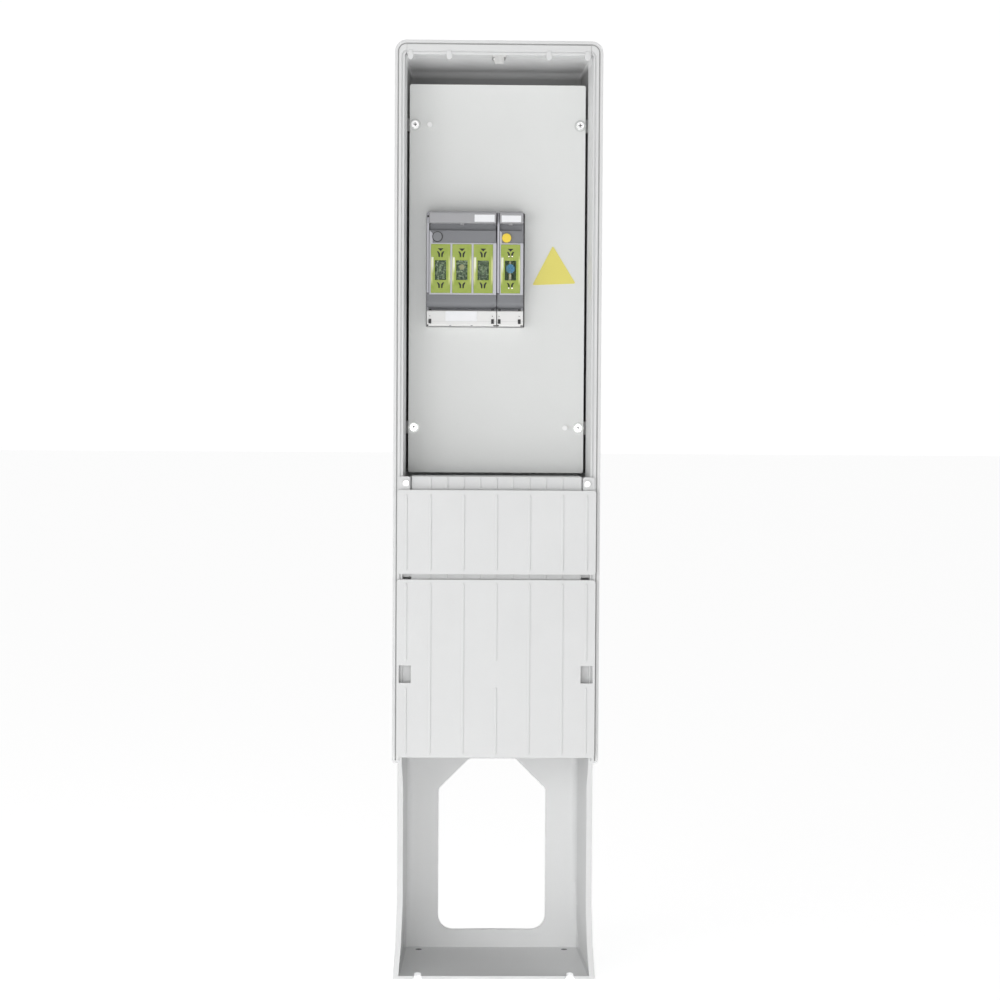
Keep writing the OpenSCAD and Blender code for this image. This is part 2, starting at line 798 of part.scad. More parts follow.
module plate_nuts() {
    color(steel) for (x = [-post_x, post_x], z = [plate_low + post_in, plate_high - post_in])
        difference() {
            translate([x, plate_y, z]) rotate([90, 0, 0]) cylinder(r = post_hex, h = nut_t, $fn = 6);
            rod_y(x, z, post_r + hole_play, plate_y - nut_t - cut, plate_y + cut);
        }
}

// Covers of the cable space

// Tray of a cover: a face with four turned-back edges, from z0 to z1
module cover_tray(z0, z1) {
    difference() {
        along_y(cover_face, cover_back - cover_face)
            polygon(rounded(box_pts(-cover_x, z0, cover_x, z1),
                            [cover_corner, cover_corner, cover_corner, cover_corner], 5));
        block(cover_t - cover_x, cover_x - cover_t, cover_face + cover_t, cover_back + cut,
              z0 + cover_t, z1 - cover_t);
    }
    // stiffening ribs inside
    for (x = [-2 * rib_pitch, -rib_pitch, 0, rib_pitch, 2 * rib_pitch])
        block(x - 1, x + 1, cover_face + cover_t - 0.5, cover_back, z0 + cover_t - 0.5, z1 - cover_t + 0.5);
}

// Ribs on the face of a cover, each given as its place and the stretches it covers
module face_rib(x, z0, z1) {
    along_y(cover_face - rib_h, rib_h + 0.5)
        polygon([[x - rib_w / 2, z0 + rib_w], [x, z0], [x + rib_w / 2, z0 + rib_w],
                 [x + rib_w / 2, z1 - rib_w], [x, z1], [x - rib_w / 2, z1 - rib_w]]);
}

// Tongue that the next piece above laps over, from the cover's upper edge z
module tongue(z) {
    block(-tongue_x, tongue_x, cover_face + cover_t - 0.5, tongue_face + cover_t, z - cover_t, z);
    block(-tongue_x, tongue_x, tongue_face, tongue_face + cover_t, z - cover_t, z + tongue_h);
    for (i = [-4:4])
        block(i * rib_pitch / 2 - 1, i * rib_pitch / 2 + 1, tongue_face - rib_h, tongue_face + 0.5,
              z + 1, z + tongue_h - 1.5);
}

module upper_cover() {
    color(grey_body) {
        difference() {
            union() {
                cover_tray(upper_z, upper_top);
                for (x = [-rib_out, -2 * rib_pitch, -rib_pitch, 0, rib_pitch, 2 * rib_pitch, rib_out])
                    face_rib(x, upper_z + 5, upper_top - 7);
                tongue(upper_top);
                // shelf that closes the way up behind the panel's foot
                block(-tongue_x, tongue_x, tongue_face, panel_y - 1, shelf_z - cover_t, shelf_z);
                // ears in front of the shell's lugs
                both_sides() along_y(cover_back - ear_t, ear_t)
                    polygon(rounded(box_pts(ear_in, upper_top - cover_t, ear_out, shelf_z), [0, 0, 3, 3], 4));
            }
            both_sides() rod_y(ear_screw_x, ear_screw_z, ear_screw_r + hole_play,
                               cover_back - ear_t - cut, cover_back + cut);
        }
    }
}

module upper_cover_screws() {
    head_y = cover_back - ear_t - 3;
    color(steel) both_sides() {
        rod_y(ear_screw_x, ear_screw_z, ear_head_r, head_y, head_y + 3);
        rod_y(ear_screw_x, ear_screw_z, ear_screw_r, head_y + 1, front_y + 15);
    }
}

module lower_cover() {
    gap_low = window_low - window_margin;
    gap_high = window_low + window_h + window_margin;
    color(grey_body) {
        difference() {
            union() {
                cover_tray(lower_z, lower_top);
                for (x = [-2 * rib_pitch, -rib_pitch, rib_pitch, 2 * rib_pitch])
                    face_rib(x, lower_z + 5, lower_top - 5);
                for (x = [-rib_out, 0, rib_out]) {
                    face_rib(x, lower_z + 5, gap_low);
                    face_rib(x, gap_high, lower_top - 5);
                }
                tongue(lower_top);
            }
            both_sides() {
                block(window_in, window_in + window_w, cover_face - cut, cover_face + cover_t + cut,
                      window_low, window_low + window_h);
                rod_y(lower_screw_x, lower_screw_z, ear_screw_r + hole_play, tongue_face - 2, tongue_face + 6);
            }
        }
    }
}

module lower_cover_screws() {
    color(steel) both_sides() {
        rod_y(lower_screw_x, lower_screw_z, ear_head_r, tongue_face - 3, tongue_face);
        rod_y(lower_screw_x, lower_screw_z, ear_screw_r, tongue_face - 2, tongue_face + cover_t + 15);
    }
}

// Cable rail and clamps

module cable_rail() {
    z0 = cable_rail_mid - c_rail_h / 2;
    z1 = cable_rail_mid + c_rail_h / 2;
    color(steel) difference() {
        block(-c_rail_x, c_rail_x, c_rail_y, c_rail_back, z0, z1);
        block(-c_rail_x - cut, c_rail_x + cut, c_rail_y + c_rail_t, c_rail_back - c_rail_t,
              z0 + c_rail_t, z1 - c_rail_t);
        block(-c_rail_x - cut, c_rail_x + cut, c_rail_y - cut, c_rail_y + c_rail_t + cut,
              cable_rail_mid - c_rail_slot / 2, cable_rail_mid + c_rail_slot / 2);
        for (x = [-c_rail_bolt_x, c_rail_bolt_x])
            rod_y(x, cable_rail_mid, 3 + hole_play, c_rail_back - c_rail_t - cut, c_rail_back + cut);
    }
}

module cable_rail_bolts() {
    head_y = c_rail_back - c_rail_t - 4;
    color(steel) for (x = [-c_rail_bolt_x, c_rail_bolt_x]) {
        rod_y(x, cable_rail_mid, 5.5, head_y, head_y + 4);
        rod_y(x, cable_rail_mid, 3, head_y + 1, c_rail_back + c_rail_bolt_l);
    }
}

// Half of a clamp block, from y0 to y1, with the cable's bore and the bolt holes
module clamp_half(y0, y1) {
    for (side = [-1, 1]) translate([side * clamp_x, 0, cable_rail_mid]) difference() {
        along_z(-clamp_h / 2, clamp_h)
            polygon(rounded([[-clamp_w / 2, y0], [clamp_w / 2, y0], [clamp_w / 2, y1], [-clamp_w / 2, y1]],
                            [3, 3, 3, 3], 4));
        translate([0, clamp_y, -clamp_h]) cylinder(r = cable_r, h = 2 * clamp_h);
        for (x = [-clamp_bolt_x, clamp_bolt_x])
            rod_y(x, 0, clamp_bolt_r + 0.2, y0 - cut, y1 + cut);
    }
}

module clamp_backs() {
    color([0.12, 0.12, 0.13]) clamp_half(clamp_y + clamp_split / 2, c_rail_y);
}

module clamp_fronts() {
    color([0.12, 0.12, 0.13]) clamp_half(clamp_y - clamp_d / 2, clamp_y - clamp_split / 2);
}

module clamp_bolts() {
    head_w = c_rail_slot - 1;
    color(steel) for (side = [-1, 1], x = [-clamp_bolt_x, clamp_bolt_x])
        translate([side * clamp_x + x, 0, cable_rail_mid]) {
            rod_y(0, 0, clamp_bolt_r, clamp_y - clamp_d / 2 - 9, c_rail_y + c_rail_t + 3);
            block(-5, 5, c_rail_y + c_rail_t, c_rail_y + c_rail_t + 4, -c_rail_slot / 2 - 4, c_rail_slot / 2 + 4);
            translate([0, clamp_y - clamp_d / 2, 0]) rotate([90, 0, 0]) cylinder(r = 5.8, h = 5, $fn = 6);
        }
}

// Fuse switches. n is the number of poles: three, or one for the neutral

function base_w(n) = n * pole_pitch + (n == 3 ? base3_over : base1_over);
function base_left(n) = n == 3 ? -switch3_left : base_w(3) - switch3_left + switch_gap;
function base_mid(n) = base_left(n) + base_w(n) / 2;
function switch_right() = base_left(1) + base_w(1);
function lid_left(n) = fin_t + lid_gap - base_w(n) / 2;
function lid_right(n) = base_w(n) / 2 - lid_gap;
function grip_right(n) = base_w(n) / 2 - grip_side;
function button_x(n) = lid_left(n) + (n == 3 ? button3_in : button1_in);
function button_z(n) = pane_top + button_up - (n == 3 ? 0 : button1_drop);
function pole_x(n, i) = (i - (n - 1) / 2) * pole_pitch;

module at_switch(n) {
    translate([base_mid(n), 0, 0]) children();
}

module each_pole(n) {
    for (i = [0:n - 1]) translate([pole_x(n, i), 0, 0]) children();
}

module base_screw_places(n) {
    x = n == 3 ? pole_pitch : 0;
    for (side = n == 3 ? [-1, 1] : [0], z = [switch_z - tab_h / 2, switch_top + tab_h / 2])
        translate([base_mid(n) + side * x, 0, z]) children();
}

module switch_base(n) {
    w = base_w(n);
    difference() {
        at_switch(n) difference() {
            union() {
                block(-w / 2, w / 2, base_front, plate_y, switch_z, switch_top);
                for (side = [-1, 1], x = n == 3 ? side * pole_pitch : side * 0)
                    block(x - tab_w / 2, x + tab_w / 2, plate_y - tab_t, plate_y,
                          switch_z - tab_h, switch_top + tab_h);
                // cheeks that carry the hinge pin
                both_sides() {
                    rod_x(hinge_y, hinge_z, cheek_r, w / 2 - cheek_t, w / 2);
                    block(w / 2 - cheek_t, w / 2, hinge_y, base_front + 1, hinge_z - cheek_low,
                          hinge_z + cheek_r);
                }
                // fin beside the lid
                along_x(-w / 2, fin_t)
                    polygon(rounded([[lid_face, hinge_z + lid_step + 1], [base_front + 1, hinge_z + lid_step + 1],
                                     [base_front + 1, switch_top], [lid_face, switch_top]], [1, 0, 0, 6], 4));
            }
            each_pole(n) {
                block(-pole_r, pole_r, base_front - cut, floor_y, chamber_low, chamber_top);
                // wiring bays, open to the front and to the cables' side
                block(-pole_r, pole_r, base_front - cut, floor_y, switch_z + 3, bay_low_top);
                block(-pole_r, pole_r, base_front - cut, floor_y, bay_high, switch_top - 3);
                block(3 - pole_r, pole_r - 3, -10, floor_y - 1, switch_z - tab_h - cut, switch_z + 4);
                block(3 - pole_r, pole_r - 3, -10, floor_y - 1, switch_top - 4, switch_top + tab_h + cut);
                // slots for the contact bars
                block(-8.5, 8.5, bar_y - 0.4, floor_y, bay_low_top - cut, chamber_low + cut);
                block(-8.5, 8.5, bar_y - 0.4, floor_y, chamber_top - cut, bay_high + cut);
            }
            rod_x(hinge_y, hinge_z, pin_r + 0.02, -w, w);
        }
        base_screw_places(n) rod_y(0, 0, terminal_r + hole_play, plate_y - tab_t - cut, plate_y + cut);
    }
}

module base_screws(n) {
    head_y = plate_y - tab_t - 3;
    base_screw_places(n) {
        rod_y(0, 0, 4, head_y, head_y + 3);
        rod_y(0, 0, terminal_r, head_y + 1, plate_back + 3);
    }
}

// Sprung contact and its bar, pointing up or down from the link's end
module contact(up) {
    inner = blade_t / 2 + blade_play;
    end = link_l / 2;
    mouth = blade_y - blade_w / 2 - 1;
    z_bar = up ? switch_top - 8 - link_z : link_z - switch_z - 8;
    translate([0, 0, link_z]) mirror([0, 0, up ? 0 : 1]) {
        both_sides() along_z(end - jaw_h, jaw_h)
            polygon([[inner + 1.3, mouth], [inner + jaw_t, mouth], [inner + jaw_t, bar_y + 1],
                     [inner, bar_y + 1], [inner, mouth + 3]]);
        block(-8, 8, bar_y, bar_y + bar_t, end - jaw_h, z_bar);
    }
}

module switch_contacts(n) {
    at_switch(n) each_pole(n) {
        contact(true);
        contact(false);
    }
}

module terminal_places(n) {
    at_switch(n) each_pole(n) {
        translate([0, bar_y - terminal_d, switch_top - 22]) children();
        translate([0, bar_y - terminal_d, switch_z + 10]) children();
    }
}

module switch_terminals(n) {
    terminal_places(n) difference() {
        block(-terminal_w / 2, terminal_w / 2, 0, terminal_d, 0, terminal_h);
        rod_y(0, terminal_h / 2, terminal_r + hole_play, -cut, terminal_d + cut);
        // wire channels either side of the screw
        both_sides() translate([6, 7, -cut]) cylinder(r = 2.2, h = terminal_h + 2 * cut);
    }
}

module terminal_screws(n) {
    terminal_places(n) {
        rod_y(0, terminal_h / 2, 3.8, -3, 0);
        rod_y(0, terminal_h / 2, terminal_r, -2, terminal_d - 1);
    }
}

module hinge_pin(n) {
    at_switch(n) rod_x(hinge_y, hinge_z, pin_r, 0.5 - base_w(n) / 2, base_w(n) / 2 - 0.5);
}

module terminal_cover(n) {
    w = base_w(n) - 0.6;
    at_switch(n) difference() {
        along_x(-w / 2, w)
            polygon(rounded([[tcover_face, switch_z], [base_front - seat, switch_z],
                             [base_front - seat, tcover_top], [tcover_face, tcover_top]], [3, 0, 0, 2], 4));
        block(tcover_t - w / 2, w / 2 - tcover_t, tcover_face + tcover_t, base_front + cut,
              switch_z + tcover_t, tcover_top - tcover_t);
    }
}

// Moulded lid: a deep tray on a hinge barrel, with claws that hold the links by their lugs
module switch_lid(n) {
    x0 = lid_left(n);
    x1 = lid_right(n);
    side = base_w(n) / 2;
    barrel_x = side - cheek_t - 0.5;
    recess = lid_face + grip_recess;
    step = cheek_r + 1.5;
    low_face = hinge_y - barrel_r;
    at_switch(n) difference() {
        union() {
            hinge_barrel(barrel_x, side - 0.5);
            difference() {
                union() {
                    block(x0, x1, low_face, lid_back, hinge_z + step, hinge_z + lid_step);
                    block(x0, x1, lid_face, lid_back, hinge_z + lid_step - 0.1, band_top);
                    block(x0, grip_right(n), recess, lid_back, band_top - 1, switch_top - grip_t);
                }
                block(x0 + lid_side, x1 - lid_side, lid_in, lid_back + cut, hinge_z + lid_step,
                      band_top - lid_top_t);
                block(x0 + lid_side, grip_right(n) - lid_side, recess + lid_t, lid_back + cut,
                      band_top - lid_top_t - cut, switch_top - grip_t - 3);
                block(x0 + lid_side, x1 - lid_side, low_face + lid_t, lid_back + cut,
                      hinge_z + step - cut, hinge_z + lid_step + 0.1);
                // narrower band beside the lock button
                block(grip_right(n), x1 + cut, lid_face - cut, lid_back + cut, pane_top + 4, band_top + cut);
            }
            // side of the narrower band
            block(grip_right(n) - lid_side, grip_right(n), lid_face, lid_back, pane_top + 1, band_top - 2);
            block(grip_right(n) - lid_side, x1, lid_face, lid_back, pane_top + 1, pane_top + 4);
            // floor of the hollow, kept inside the sweep that clears the lower contacts
            block(-barrel_x, barrel_x, low_face, hinge_y + 5.5, hinge_z, hinge_z + lid_floor);
            // ribs between the poles
            if (n == 3) for (x = [-pole_pitch / 2, pole_pitch / 2])
                block(x - lid_rib / 2, x + lid_rib / 2, lid_in - 0.5, hinge_y + 6, hinge_z + 11, band_top - 1);
            for (up = [-1, 1]) difference() {
                block(x0 + lid_side - 0.5, x1 - lid_side + 0.5, lid_in, lid_in + claw_d,
                      link_z + up * (link_end + link_end_t / 2) - link_end_t / 2 - claw_h,
                      link_z + up * (link_end + link_end_t / 2) + link_end_t / 2 + claw_h);
                each_pole(n) block(-7.5, 7.5, link_face - claw_d - 0.4, lid_in + claw_d + cut,
                                   link_z + up * (link_end + link_end_t / 2) - link_end_t / 2 - 0.1,
                                   link_z + up * (link_end + link_end_t / 2) + link_end_t / 2 + 0.1);
            }
        }
        each_pole(n) block(-pane_w / 2 - 0.1, pane_w / 2 + 0.1, lid_face - cut, lid_in + 0.01,
                           link_z - pane_h / 2 - 0.1, pane_top + 0.1);
        rod_y(button_x(n), button_z(n), button_r + 0.1, lid_face - cut, lid_in + cut);
        rod_x(hinge_y, hinge_z, pin_r + 0.06, -side - cut, side + cut);
    }
}

// Hinge barrel. Its ends are hollowed round the base's cheeks and cut away behind and below,
// which leaves a skin in front of them.
module hinge_barrel(x, x_end) {
    reach = 2 * barrel_r;
    difference() {
        rod_x(hinge_y, hinge_z, barrel_r, -x_end, x_end);
        both_sides() {
            rod_x(hinge_y, hinge_z, skin_in, x, x_end + cut);
            along_x(x, x_end - x + cut) translate([hinge_y, hinge_z])
                polygon([[0, 0], reach * [-cos(skin_fall), -sin(skin_fall)], [0, -reach], [reach, -reach],
                         [reach, reach], [0, reach]]);
        }
    }
    // low front edge of the lid above the skin
    block(-x_end, x_end, hinge_y - barrel_r, hinge_y - skin_in + 0.5, hinge_z + 3, hinge_z + lid_step + 0.5);
}

// Light frame round the windows, with a strip that runs up beside the lock button
module window_frame(n) {
    x0 = lid_left(n) + 0.4;
    x1 = lid_right(n) - 0.4;
    z0 = link_z - pane_h / 2 - 2.5;
    z1 = pane_top + 2;
    strip = button_x(n) - button_r - 0.5;
    at_switch(n) along_y(lid_face - frame_t, frame_t) difference() {
        polygon([[x0, z0], [x1, z0], [x1, z1], [strip, z1], [strip, band_top - (strip - x0)],
                 [x0 + 0.6, band_top - 0.6], [x0, band_top - 0.6]]);
        for (i = [0:n - 1]) translate([pole_x(n, i), link_z])
            square([pane_w + 0.2, pane_h + 0.2], center = true);
    }
}

// Tinted pane with its test slots: three at the top round a Y, two at the foot
module window_pane() {
    leg = [[5.8, 26.7], [3.6, 26.7], [1, 23.5], [1, 17.8], [3.2, 17.8], [3.6, 22.5]];
    face = lid_face - frame_t - 0.5;
    translate([0, 0, link_z]) difference() {
        along_y(face, pane_t) polygon(rounded(box_pts(-pane_w / 2, -pane_h / 2, pane_w / 2, pane_h / 2),
                                              [1, 1, 1, 1], 3));
        along_y(face - cut, pane_t + 2 * cut) {
            polygon([[-4.5, 31.4], [4.5, 31.4], [0, 27]]);
            both_sides_2d() {
                polygon(leg);
                translate([0, -low_slot_drop]) polygon(leg);
            }
        }
        // thinner view field over the link
        along_y(face - cut, cut + 0.8) polygon(rounded(box_pts(-8.8, -17.8, 8.8, 12.9), [1, 1, 1, 1], 3));
    }
}

module both_sides_2d() {
    children();
    mirror([1, 0]) children();
}

module windows(n) {
    at_switch(n) each_pole(n) window_pane();
}

// Grip bar: a deep channel, closed at its ends, that the fingers hook under
module grip(n) {
    x0 = lid_left(n);
    x1 = grip_right(n);
    reach = lid_face - grip_reach;
    back = lid_face + grip_recess;
    at_switch(n) {
        difference() {
            along_x(x0, x1 - x0)
                polygon(rounded([[reach, grip_z], [back, grip_z], [back, switch_top - grip_t],
                                 [lid_back, switch_top - grip_t], [lid_back, switch_top], [reach, switch_top]],
                                [1.5, 0, 0, 0, 1, 4], 5));
            block(x0 + 3, x1 - 3, reach + grip_t, back - grip_t, grip_z - cut, switch_top - grip_t);
        }
        // catch under the middle of the bar
        block(-3, 3, back - grip_t - 12, back - grip_t + 0.5, grip_z - 2, grip_z + 2.5);
    }
}

// Lock button in the band above the windows, held behind by its flange
module lock_button(n) {
    x = button_x(n);
    z = button_z(n);
    flange_y = lid_in + 0.1;
    at_switch(n) {
        rod_y(x, z, button_r, lid_face - button_travel - 0.5, flange_y + 0.5);
        rod_y(x, z, button_r + 1, flange_y, flange_y + 1.6);
        rod_y(x, z, 3, flange_y + 1, flange_y + 9);
    }
}

// Fuse links and the neutral link

// Outline of a link's body from above
function body_pts(w, r) = rounded([[-w / 2, link_face], [w / 2, link_face],
                                   [w / 2, link_face + link_body_d], [-w / 2, link_face + link_body_d]],
                                  [r, r, r, r], 5);

// Knife blade beyond the end plate, with its tip rounded
module blade(z0) {
    y0 = blade_y - blade_w / 2;
    y1 = blade_y + blade_w / 2;
    along_x(-blade_t / 2, blade_t)
        polygon(rounded([[y0, z0], [y1, z0], [y1, link_l / 2], [y0, link_l / 2]], [0, 0, 3, 3], 4));
}

module fuse_bodies() {
    color(ceramic) at_switch(3) each_pole(3)
        along_z(link_z - link_end, link_body_h) polygon(body_pts(link_body_w, 4));
}

module fuse_ends() {
    color(steel) at_switch(3) each_pole(3) translate([0, 0, link_z]) for (up = [0, 1])
        mirror([0, 0, up]) {
            along_z(link_end, link_end_t) polygon(body_pts(link_body_w, 4));
            block(-7, 7, link_face - claw_d, link_face + 2, link_end, link_end + link_end_t);
            blade(link_end + link_end_t - 0.5);
        }
}

module fuse_indicators() {
    color([0.93, 0.90, 0.72]) at_switch(3) each_pole(3)
        difference() {
            rod_y(0, link_z + 3, 4.2, link_face - 1.2, link_face);
            rod_y(0, link_z + 3, 1.4, link_face - 1.2 - cut, link_face - 0.6);
        }
}

module neutral_link() {
    color(copper) at_switch(1) translate([0, 0, link_z]) {
        blade(0);
        mirror([0, 0, 1]) blade(0);
        for (up = [0, 1]) mirror([0, 0, up])
            block(-7, 7, link_face - claw_d, blade_y + blade_w / 2 - 2, link_end, link_end + link_end_t);
    }
}

module neutral_disc() {
    y0 = blade_y - blade_w / 2;
    color([0.25, 0.55, 0.82]) at_switch(1) {
        rod_y(0, link_z + 1, 7, link_face - 2, link_face + 1);
        rod_y(0, link_z + 1, 3, link_face, y0);
    }
}

pillar_shell();
roof_rail();
lock_keeper();
keeper_screws();
cover_panel();
panel_screws();
panel_washers();
sealing_studs();
mounting_plate();
plate_posts();
plate_nuts();
upper_cover();
upper_cover_screws();
lower_cover();
lower_cover_screws();
cable_rail();
cable_rail_bolts();
clamp_backs();
clamp_fronts();
clamp_bolts();
color(grey_frame) switch_base(3);  // switch3_base
color(steel) base_screws(3);  // switch3_base_screws
color(copper) switch_contacts(3);  // switch3_contacts
color(brass) switch_terminals(3);  // switch3_terminals
color(steel) terminal_screws(3);  // switch3_terminal_screws
color(steel) hinge_pin(3);  // switch3_hinge_pin
color(clear) terminal_cover(3);  // switch3_terminal_cover
color(grey_dark) switch_lid(3);  // switch3_lid
color(grey_frame) window_frame(3);  // switch3_window_frame
color(tinted) windows(3);  // switch3_windows
color(grey_grip) grip(3);  // switch3_grip
fuse_bodies();
fuse_ends();
fuse_indicators();
color(grey_grip) lock_button(3);  // switch3_lock_button
color(grey_frame) switch_base(1);  // switch1_base
color(steel) base_screws(1);  // switch1_base_screws
color(copper) switch_contacts(1);  // switch1_contacts
color(brass) switch_terminals(1);  // switch1_terminals
color(steel) terminal_screws(1);  // switch1_terminal_screws
color(steel) hinge_pin(1);  // switch1_hinge_pin
color(clear) terminal_cover(1);  // switch1_terminal_cover
color(grey_dark) switch_lid(1);  // switch1_lid
color(grey_frame) window_frame(1);  // switch1_window_frame
color(tinted) windows(1);  // switch1_window
color(grey_grip) grip(1);  // switch1_grip
neutral_link();
neutral_disc();
color([0.98, 0.84, 0.20]) lock_button(1);  // switch1_lock_button
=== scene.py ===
# Service connection pillar with its door lifted off, built up from the ground to the switches.
import math

import bmesh
import bpy
from mathutils import Matrix, Vector


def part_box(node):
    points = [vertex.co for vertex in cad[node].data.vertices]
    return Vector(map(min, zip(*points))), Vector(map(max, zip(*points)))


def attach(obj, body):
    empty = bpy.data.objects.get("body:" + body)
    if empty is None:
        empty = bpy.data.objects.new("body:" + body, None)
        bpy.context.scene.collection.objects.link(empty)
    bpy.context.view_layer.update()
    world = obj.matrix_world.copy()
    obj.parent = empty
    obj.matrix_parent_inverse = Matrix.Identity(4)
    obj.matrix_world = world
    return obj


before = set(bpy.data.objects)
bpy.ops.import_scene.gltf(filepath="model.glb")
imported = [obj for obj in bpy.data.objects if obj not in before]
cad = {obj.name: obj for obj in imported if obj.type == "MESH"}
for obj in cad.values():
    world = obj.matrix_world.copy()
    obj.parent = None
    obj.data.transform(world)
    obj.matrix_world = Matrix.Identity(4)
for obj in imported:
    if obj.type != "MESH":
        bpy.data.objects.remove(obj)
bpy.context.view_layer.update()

# Camera. It stands 3.66 m in front of the lip, a little left of the middle and as high as the
# switches, and looks slightly down and to the right.
turn, dip, tilt = 0.02462, 0.03751, 0.00606
lip_front, distance = -0.0975, 3.661
focal_pixels, picture_pixels = 2370.25, 1000
ahead = Vector((math.sin(turn) * math.cos(dip), math.cos(turn) * math.cos(dip), -math.sin(dip)))
level = Vector((math.cos(turn), -math.sin(turn), 0))
over = level.cross(ahead)
across = level * math.cos(tilt) + over * math.sin(tilt)
upward = over * math.cos(tilt) - level * math.sin(tilt)
lens = bpy.data.cameras.new("camera")
lens.sensor_width = 36
lens.lens = focal_pixels * lens.sensor_width / picture_pixels
lens.clip_end = 50
camera = bpy.data.objects.new("camera", lens)
camera.matrix_world = Matrix.Translation((-0.085, lip_front - distance, 0.8846)) @ Matrix(
    (across, upward, -ahead)).transposed().to_4x4()
bpy.context.scene.collection.objects.link(camera)
bpy.context.scene.camera = camera

# Studio. A pale floor and a white surround light the pillar softly from all round. Large lamps in
# front and to the left give its edges and recesses their shape, and small ones reach foot and roof.
MM = 0.001


class Value:
    """A socket that can be added, subtracted, multiplied and compared."""

    def __init__(self, finish, socket):
        self.finish, self.socket = finish, socket

    def work(self, operation, *values):
        return self.finish.node("ShaderNodeMath", {"operation": operation}, dict(enumerate(values)))

    def __add__(self, v): return self.work("ADD", self, v)
    def __radd__(self, v): return self.work("ADD", v, self)
    def __sub__(self, v): return self.work("SUBTRACT", self, v)
    def __rsub__(self, v): return self.work("SUBTRACT", v, self)
    def __mul__(self, v): return self.work("MULTIPLY", self, v)
    def __rmul__(self, v): return self.work("MULTIPLY", v, self)
    def __abs__(self): return self.work("ABSOLUTE", self)
    def least(self, v): return self.work("MINIMUM", self, v)
    def above(self, v): return self.work("GREATER_THAN", self, v)
    def below(self, v): return self.work("LESS_THAN", self, v)

    def between(self, low, high):
        """0 at low and 1 at high, held beyond both."""
        return self.finish.node("ShaderNodeMapRange", {"clamp": True},
                                {0: self, 1: low, 2: high, 3: 0.0, 4: 1.0})


class Finish:
    """A material with one shader, whose nodes are made one call at a time."""

    def __init__(self, name, colour=(0.8, 0.8, 0.8), roughness=0.5, metallic=0.0):
        self.material = bpy.data.materials.new(name)
        self.material.use_nodes = True
        self.tree = self.material.node_tree
        self.shader = self.tree.nodes["Principled BSDF"]
        self.set("Base Color", (*colour, 1))
        self.set("Roughness", roughness)
        self.set("Metallic", metallic)

    def node(self, kind, settings=None, sockets=None, out=0):
        """A new node with its settings, then values or links for its sockets; gives one output."""
        made = self.tree.nodes.new(kind)
        for key, v in (settings or {}).items():
            setattr(made, key, v)
        for key, v in (sockets or {}).items():
            if isinstance(v, Value):
                self.tree.links.new(v.socket, made.inputs[key])
            else:
                made.inputs[key].default_value = v
        return Value(self, made.outputs[out])

    def set(self, socket, v):
        """Set or link one of the shader's own sockets."""
        if isinstance(v, Value):
            self.tree.links.new(v.socket, self.shader.inputs[socket])
        else:
            self.shader.inputs[socket].default_value = v

    def place(self):
        """Object coordinates, in metres, and their three parts."""
        spot = self.node("ShaderNodeTexCoord", out=3)
        parts = self.node("ShaderNodeSeparateXYZ", {}, {0: spot}).socket.node
        return spot, *(Value(self, part) for part in parts.outputs)

    def noise(self, spot, scale, detail=3.0, roughness=0.55):
        """Noise of about 0 to 1 over the spot, finer for a larger scale."""
        return self.node("ShaderNodeTexNoise", {}, {"Vector": spot, "Scale": scale, "Detail": detail,
                                                    "Roughness": roughness})

    def mix(self, share, a, b):
        """Colour a with its share of colour b."""
        a = a if isinstance(a, Value) else (*a, 1)
        b = b if isinstance(b, Value) else (*b, 1)
        return self.node("ShaderNodeMix", {"data_type": "RGBA"}, {0: share, 6: a, 7: b}, out=2)

    def soft_edges(self, radius):
        """The normal of the surface as if its edges were rounded to this radius, in millimetres."""
        return self.node("ShaderNodeBevel", {"samples": 4}, {"Radius": radius * MM})

    def rub(self, rounded):
        """1 on an edge and 0 on a flat."""
        straight = self.node("ShaderNodeNewGeometry", out=1)
        same = self.node("ShaderNodeVectorMath", {"operation": "DOT_PRODUCT"},
                         {0: rounded, 1: straight}, out=1)
        return (1 - same).between(0.01, 0.16)

    def raise_by(self, height, distance, normal):
        """Raise the surface by a height between 0 and 1 times distance, in millimetres."""
        self.set("Normal", self.node("ShaderNodeBump", {}, {
            "Height": height, "Distance": distance * MM, "Strength": 1.0, "Normal": normal}))

    def on(self, *names):
        """Put the finish on CAD nodes, by name, or on new pieces."""
        for name in names:
            target = cad[name] if isinstance(name, str) else name
            target.data.materials.clear()
            target.data.materials.append(self.material)


floor_paint = Finish("floor_paint", (0.93, 0.93, 0.93), 0.9)
spot, *_ = floor_paint.place()
floor_paint.set("Roughness", floor_paint.noise(spot, 3.0) * 0.1 + 0.85)
floor_paint.set("Emission Color", (1, 1, 1, 1))
floor_paint.set("Emission Strength", 0.68)
bm = bmesh.new()
bmesh.ops.create_grid(bm, x_segments=4, y_segments=4, size=400)
floor_mesh = bpy.data.meshes.new("floor")
bm.to_mesh(floor_mesh)
bm.free()
floor = bpy.data.objects.new("floor", floor_mesh)
bpy.context.scene.collection.objects.link(floor)
floor_paint.on(floor)

